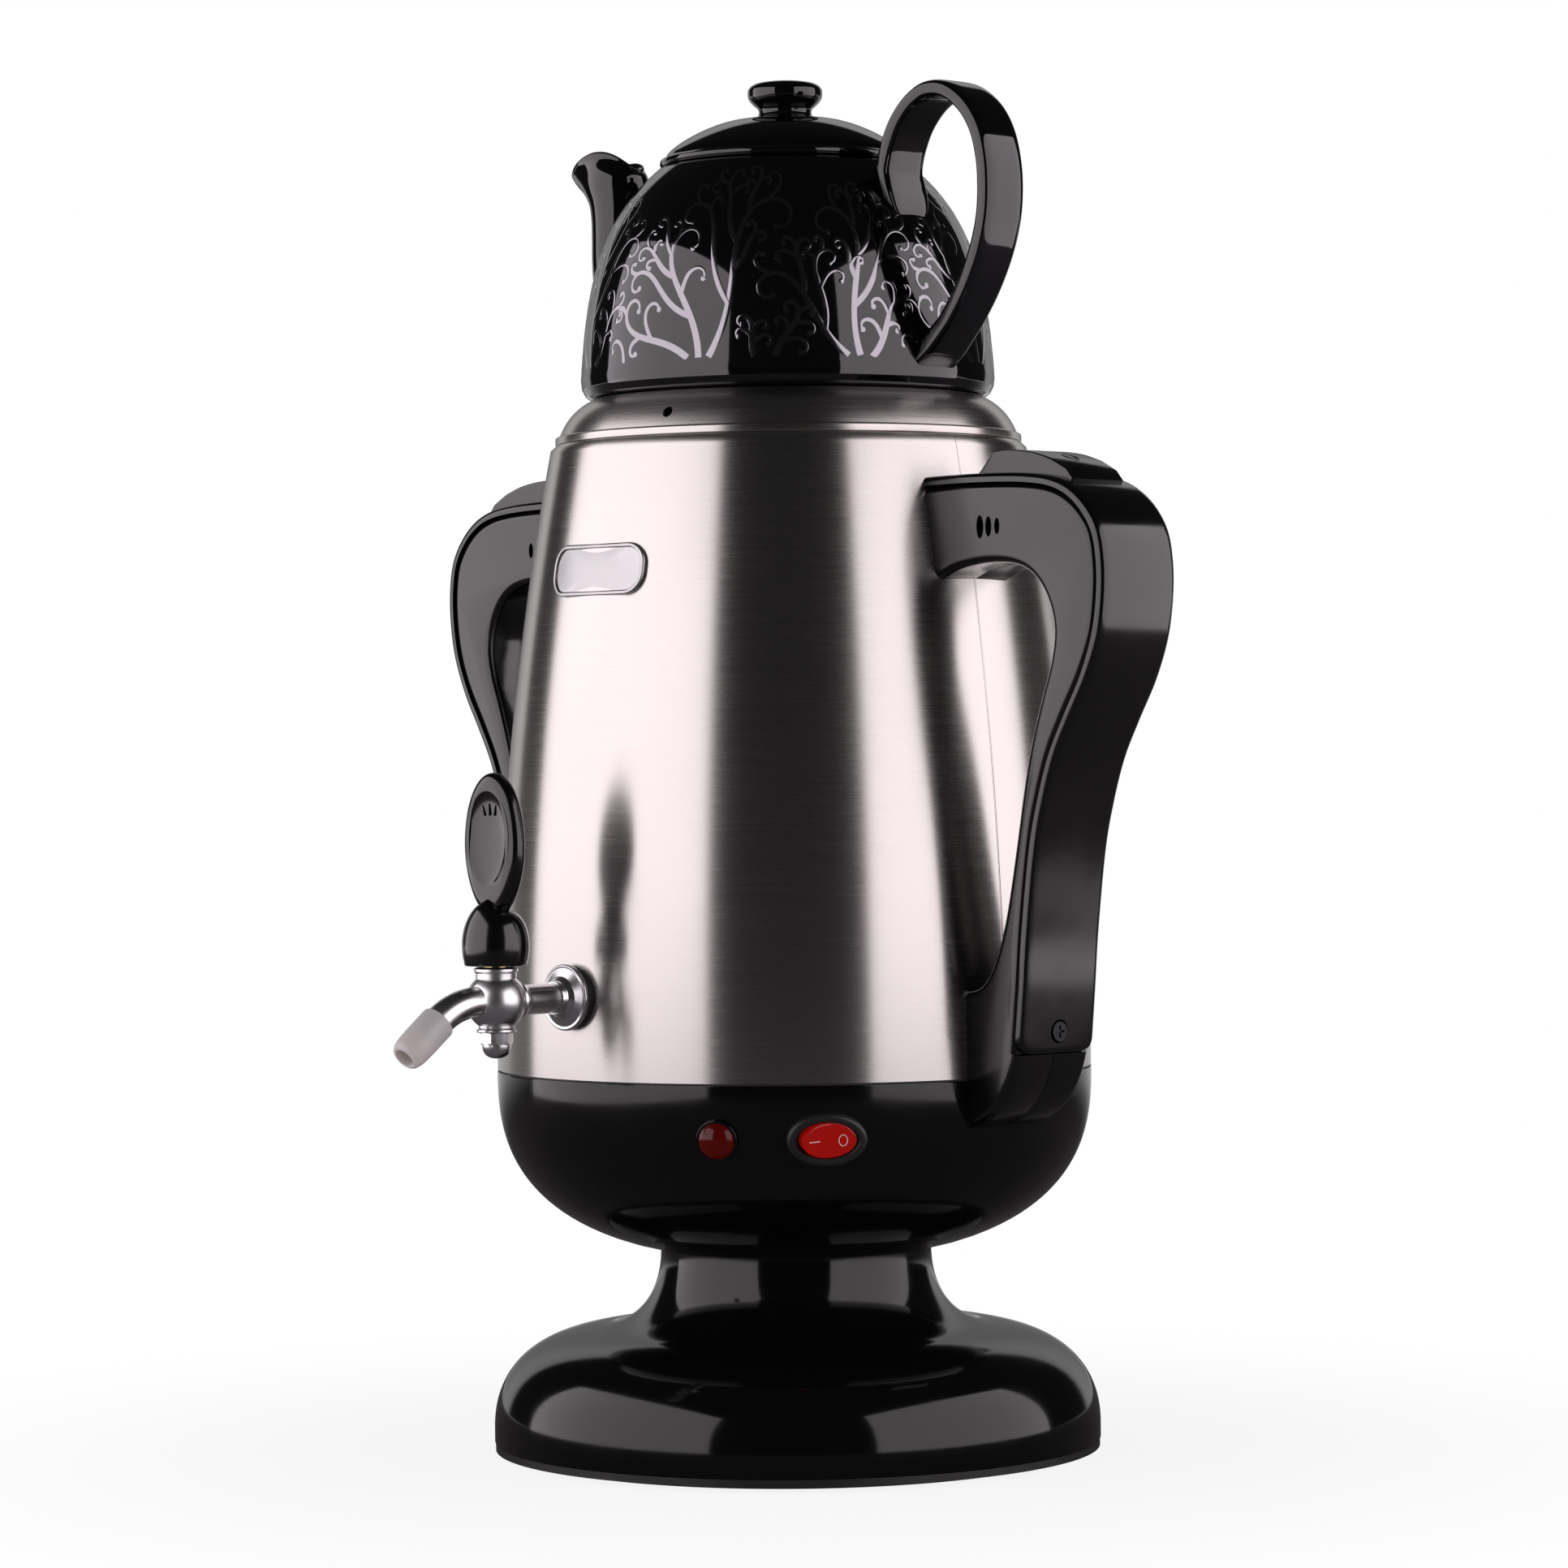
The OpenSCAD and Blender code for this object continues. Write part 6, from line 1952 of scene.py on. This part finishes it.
@dataclass
class ScrollTransfer(Assembly):
    """The silvery scroll pattern fired onto the teapot."""

    pot: Teapot
    repeats: int = 4
    turn_deg: float = -78.0
    low: float = 7.8
    high: float = 91.0
    lift: float = 0.05
    lens: tuple[Pair, ...] = ((-1.0, -0.12), (-1.0, 0.02), (-0.55, 1.0), (0.55, 1.0), (1.0, 0.02),
                              (1.0, -0.12))
    dot: tuple[Pair, ...] = ((1.0, -0.12), (1.0, 0.05), (0.6, 1.2), (0.1, 1.3))
    dot_r: float = 0.95
    root_r: float = 5.2
    clearance: float = 1.75
    cell: float = 3.0
    shortest: float = 7.5
    long: float = 19.0
    tries: tuple[float, ...] = (1.0, 0.85, 0.72, 0.6, 0.5)
    stems: tuple[tuple[float, float, float, int], ...] = (
        (14.5, 56, 83, -1), (67, 109, 72, 1), (12, 91, 63, -1), (64.5, 148, 56, 1), (9.5, 136, 48, -1),
        (38, 82, 45, 1), (69.5, 41, 41, -1), (92, 104, 38, 1), (32, 119, 21, 1), (90, 99, 19, 1))
    branches: tuple[tuple[float, int, float], ...] = (
        (0.24, -1, 0.66), (0.38, 1, 0.45), (0.5, -1, 0.45), (0.64, -1, 0.34), (0.76, -1, 0.22))
    branch_deg: float = 46.0
    line: list[tuple[float, float, float]] = field(default_factory=list, init=False)
    taken: dict[tuple[int, int], list[Pair]] = field(default_factory=dict, init=False)

    def __post_init__(self) -> None:
        """Measures the way up the teapot's wall: distance, radius and height."""
        run = 5.0
        last: Pair | None = None
        for r, z in self.pot.side(0.0, 120):
            run += math.hypot(r - last[0], z - last[1]) if last else 0.0
            self.line.append((run, r, z))
            last = (r, z)

    @property
    def width(self) -> float:
        """Distance around the teapot that one repeat takes."""
        return TURN * self.pot.radius / self.repeats

    def on_pot(self, across: float, up: float, lift: float) -> Triple:
        """Bends a place of the unrolled pattern onto the teapot.

        Args:
            across: Distance around the teapot.
            up: Distance up its wall.
            lift: Height above the glaze.

        Returns:
            The place, from the middle of the teapot's seat.
        """
        last = len(self.line) - 1
        k = max(1, min(last, next((i for i, p in enumerate(self.line) if p[0] > up), last)))
        (s0, r0, z0), (s1, r1, z1) = self.line[k - 1], self.line[k]
        f = (up - s0) / (s1 - s0)
        n = math.hypot(r1 - r0, z1 - z0)
        r = r0 + f * (r1 - r0) + lift * (z1 - z0) / n
        z = z0 + f * (z1 - z0) - lift * (r1 - r0) / n
        a = across / self.pot.radius
        return (r * math.cos(a), r * math.sin(a), z)

    def cell_of(self, x: float, y: float) -> tuple[int, int]:
        """The cell of a coarse grid that a place is in."""
        return int(x // self.cell), int(y // self.cell)

    def free(self, made: Stroke) -> bool:
        """Tests whether a curl keeps clear of all the others and of both borders.

        Args:
            made: The curl, whose root may touch the one that it grows from.

        Returns:
            Whether it does.
        """
        for x, y, _, half in made.walk():
            if math.hypot(x - made.start[0], y - made.start[1]) < self.root_r:
                continue
            if not self.low + 1.2 < y < self.high - 1.5:
                return False
            x %= self.width
            column, row = self.cell_of(x, y)
            near = [p for i in (-1, 0, 1) for j in (-1, 0, 1)
                    for p in self.taken.get((column + i, row + j), ())]
            if any(math.hypot(x - px, y - py) < self.clearance + half for px, py in near):
                return False
        return True

    def keep(self, made: Stroke) -> None:
        """Marks the room that a curl takes, in its own repeat and in both neighbours.

        Args:
            made: The curl.
        """
        for x, y, _, _ in made.walk():
            for shift in (-self.width, 0.0, self.width):
                spot = (x % self.width + shift, y)
                self.taken.setdefault(self.cell_of(*spot), []).append(spot)

    def curl(self, root: Pair, head: float, run: float, sign: int, depth: int) -> Stroke:
        """Draws a curl: a long one swings the other way first, and a short one is a hook.

        Args:
            root: Where it starts.
            head: Its heading there, in degrees.
            run: Its length.
            sign: 1 where it curls to the left, -1 to the right.
            depth: How many curls it is away from a stem.

        Returns:
            The curl.
        """
        if run < self.long:
            turn, power, swing, start_half, steps = 4.0, 1.3, -0.2, 0.75, 24
        else:
            turn, power, swing, start_half, steps = 5.0, 2.6, -1.9, 1.15 - 0.15 * depth, 44
        first = swing * sign / run
        bend = (first, first + (turn * sign / run - first) * (power + 1))
        return Stroke(root, head, run, bend, (start_half, 0.45), power, steps)

    def strokes(self) -> list[Stroke]:
        """Grows the curls of one repeat, each made shorter until it crosses no other.

        Returns:
            The curls, as distance around and distance up the wall.
        """
        out: list[Stroke] = []
        waiting = [((x, self.low - 1.0), head, length, sign, 0) for x, head, length, sign in self.stems]
        while waiting:
            root, head, length, sign, depth = waiting.pop(0)
            for size in self.tries:
                run = length * size
                if run < self.shortest:
                    break
                made = self.curl(root, head, run, sign, depth)
                if not self.free(made):
                    continue
                out.append(made)
                self.keep(made)
                for t, side, share in self.branches if run >= self.long else ():
                    place, way = made.at(t)
                    side *= sign
                    waiting.append((place, way + self.branch_deg * side, run * share, side, depth + 1))
                break
        return out

    def ribbon(self, stroke: Stroke) -> Shape:
        """A stroke as a thin lens-shaped band on the glaze, with a dot at its end.

        Args:
            stroke: The stroke.

        Returns:
            The part of it that is between the borders.
        """
        walk = stroke.walk()
        rings: list[list[Triple]] = []
        for x, y, head, half in walk:
            if not self.low <= y <= self.high:
                if rings:
                    break
                continue
            nx, ny = -math.sin(head), math.cos(head)
            ring = []
            for side, up in self.lens:
                v = min(max(y + side * half * ny, self.low), self.high)
                ring.append(self.on_pot(x + side * half * nx, v, self.lift * up))
            rings.append(ring)
        shape = Shape()
        if len(rings) > 3:
            shape.loft(rings)
        x, y = walk[-1][:2]
        if self.low + 1 < y < self.high - 1:
            r = self.dot_r
            shape.loft([[self.on_pot(x + r * size * c, y + r * size * s, self.lift * up)
                         for c, s in round_points(12)] for size, up in self.dot])
        return shape

    def build(self) -> None:
        """Makes one repeat and carries it round the teapot."""
        motif = Shape()
        for stroke in self.strokes():
            motif.join(self.ribbon(stroke))
        obj = RepeatAround().run(motif.object("teapot_scrolls", 60), LUSTRE, count=self.repeats,
                                 spread=TURN / self.repeats)
        obj.data.transform(Matrix.Translation(Vector((0, 0, SIZES.seat)) * MM) @ turned(self.turn_deg))
        self.piece(obj, LUSTRE, body=Body.TEAPOT)


# ---- studio


@dataclass
class Studio:
    """Pale floor and backdrop, two tall softboxes and the camera."""

    azimuth: float = 46.5
    distance: float = 1.727
    eye: float = 0.2373
    lens: float = 117.21
    sensor: float = 36.0
    pitch: float = 0.00706
    pan: float = 0.0015
    roll: float = -0.0097
    floor_half: float = 6000.0
    floor_z: float = -0.4
    softboxes: tuple[tuple[str, float, Pair], ...] = (
        ("softbox_left", -74.5, (1.83, 1.05)), ("softbox_right", 67, (1.6, 1.05)))
    softbox_away: float = 1.0
    softbox_level: float = 2.0
    softbox_colour: Colour = (1.0, 0.93, 0.98)

    @property
    def view(self) -> Matrix:
        """Frame of the camera's bearing: +X to its right, -Y towards it."""
        return turned(self.azimuth)

    def camera(self) -> None:
        """Places the camera."""
        data = bpy.data.cameras.new("camera")
        data.lens = self.lens
        data.sensor_width = self.sensor
        data.clip_start, data.clip_end = 0.1, 50.0
        data.dof.use_dof = False
        camera = linked("camera", data)
        place = self.view @ Vector((0, -self.distance, self.eye))
        turn = (self.view @ Matrix.Rotation(math.radians(90) - self.pitch, 4, "X")
                @ Matrix.Rotation(self.pan, 4, "Y") @ Matrix.Rotation(self.roll, 4, "Z"))
        camera.matrix_world = Matrix.Translation(place) @ turn
        bpy.context.scene.camera = camera

    def rays(self, g: Graph) -> tuple[Wire, Wire]:
        """Tells rays apart.

        Args:
            g: The graph.

        Returns:
            Whether a ray is the camera's, and whether it is mirrored or bent.
        """
        path = g.node("ShaderNodeLightPath").outputs
        clear = Wire(g, path["Is Glossy Ray"]) + Wire(g, path["Is Transmission Ray"])
        return Wire(g, path["Is Camera Ray"]), clear.math("MINIMUM", 1.0)

    def behind(self, x: Wire, y: Wire) -> Wire:
        """How far a place is behind the samovar, away from the camera."""
        a = math.radians(self.azimuth)
        return x * -math.sin(a) + y * math.cos(a)

    def paper(self) -> Material:
        """The floor's material: white far off, shaded near the samovar and grey in reflections.

        Returns:
            The material.
        """
        material = bpy.data.materials.new("floor_paper")
        material.use_nodes = True
        g = Graph(material.node_tree)
        material.node_tree.nodes.clear()
        camera, mirrored = self.rays(g)
        place = g.node("ShaderNodeTexCoord").outputs["Object"]
        far = g.wire("ShaderNodeVectorMath", "Value", {"operation": "LENGTH"}, {0: place})
        x, y, _ = g.axes(place)
        behind = self.behind(x, y)
        share = camera * (far.step(0.1, 0.4) * 0.12 + 0.88) + mirrored * (behind.step(0.5, 2.0) * 0.6)
        shade = g.blend(mirrored, (0.82, 0.82, 0.82), (0.17, 0.16, 0.165))
        matt = g.node("ShaderNodeBsdfDiffuse", {}, {"Color": shade})
        glow = g.node("ShaderNodeEmission", {}, {"Color": (1, 1, 1, 1), "Strength": 1.0})
        mixed = g.node("ShaderNodeMixShader", {}, {0: share, 1: matt.outputs[0], 2: glow.outputs[0]})
        g.node("ShaderNodeOutputMaterial", {}, {0: mixed.outputs[0]})
        return material

    def stage(self) -> None:
        """Lays the floor."""
        corners = [(x * self.floor_half, y * self.floor_half, self.floor_z)
                   for x, y in ((-1, -1), (1, -1), (1, 1), (-1, 1))]
        floor = Shape().add(corners, [(0, 1, 2, 3)]).object("floor")
        floor.data.materials.append(self.paper())

    def softbox(self, name: str, bearing: float, size: Pair) -> None:
        """Adds an upright softbox that stands on the floor and faces the samovar.

        Args:
            name: Name of the lamp.
            bearing: Degrees to the right of the camera, seen from the samovar.
            size: Width and height in metres.
        """
        data = bpy.data.lights.new(name, "AREA")
        data.shape = "RECTANGLE"
        data.size, data.size_y = size
        data.energy = self.softbox_level * math.pi * size[0] * size[1]
        data.color = self.softbox_colour
        a, away = math.radians(bearing), self.softbox_away
        place = self.view @ Vector((math.sin(a) * away, -math.cos(a) * away, size[1] / 2))
        facing = Vector((-place.x, -place.y, 0)).to_track_quat("-Z", "Y")
        linked(name, data).matrix_world = Matrix.Translation(place) @ facing.to_matrix().to_4x4()

    def world(self) -> None:
        """White for the camera, a bright band behind the samovar for reflections, dim for the rest."""
        world = bpy.data.worlds.new("studio")
        bpy.context.scene.world = world
        world.use_nodes = True
        g = Graph(world.node_tree)
        world.node_tree.nodes.clear()
        camera, mirrored = self.rays(g)
        x, y, _ = g.axes(g.node("ShaderNodeTexCoord").outputs["Generated"])
        behind = self.behind(x, y)
        band = behind.step(0.78, 0.82) * (0.6 - behind.step(0.84, 1.0) * 0.42)
        seen = mirrored * (band + 0.018) + (1 - mirrored) * 0.05
        strength = camera + (1 - camera) * seen
        back = g.node("ShaderNodeBackground", {}, {"Color": (1, 1, 1, 1), "Strength": strength})
        g.node("ShaderNodeOutputWorld", {}, {0: back.outputs[0]})

    def build(self) -> None:
        """Sets the studio up."""
        self.camera()
        self.stage()
        self.world()
        for name, bearing, size in self.softboxes:
            self.softbox(name, bearing, size)
        bpy.context.scene.view_settings.view_transform = "Standard"


def main() -> None:
    """Builds every group in order and reports the pieces."""
    logging.basicConfig(level=logging.INFO, format="%(message)s")
    pot = Teapot()
    for group in (Foot(), Bowl(), Tank(), Controls(), Tap(), Handle(side=Side.RIGHT), Handle(side=Side.LEFT),
                  TeapotRing(), pot, ScrollTransfer(pot=pot)):
        group.build()
        LOG.info("%s: %d pieces", type(group).__name__, len(group.made))
    Studio().build()
    bpy.context.view_layer.update()


if __name__ == "__main__":
    main()
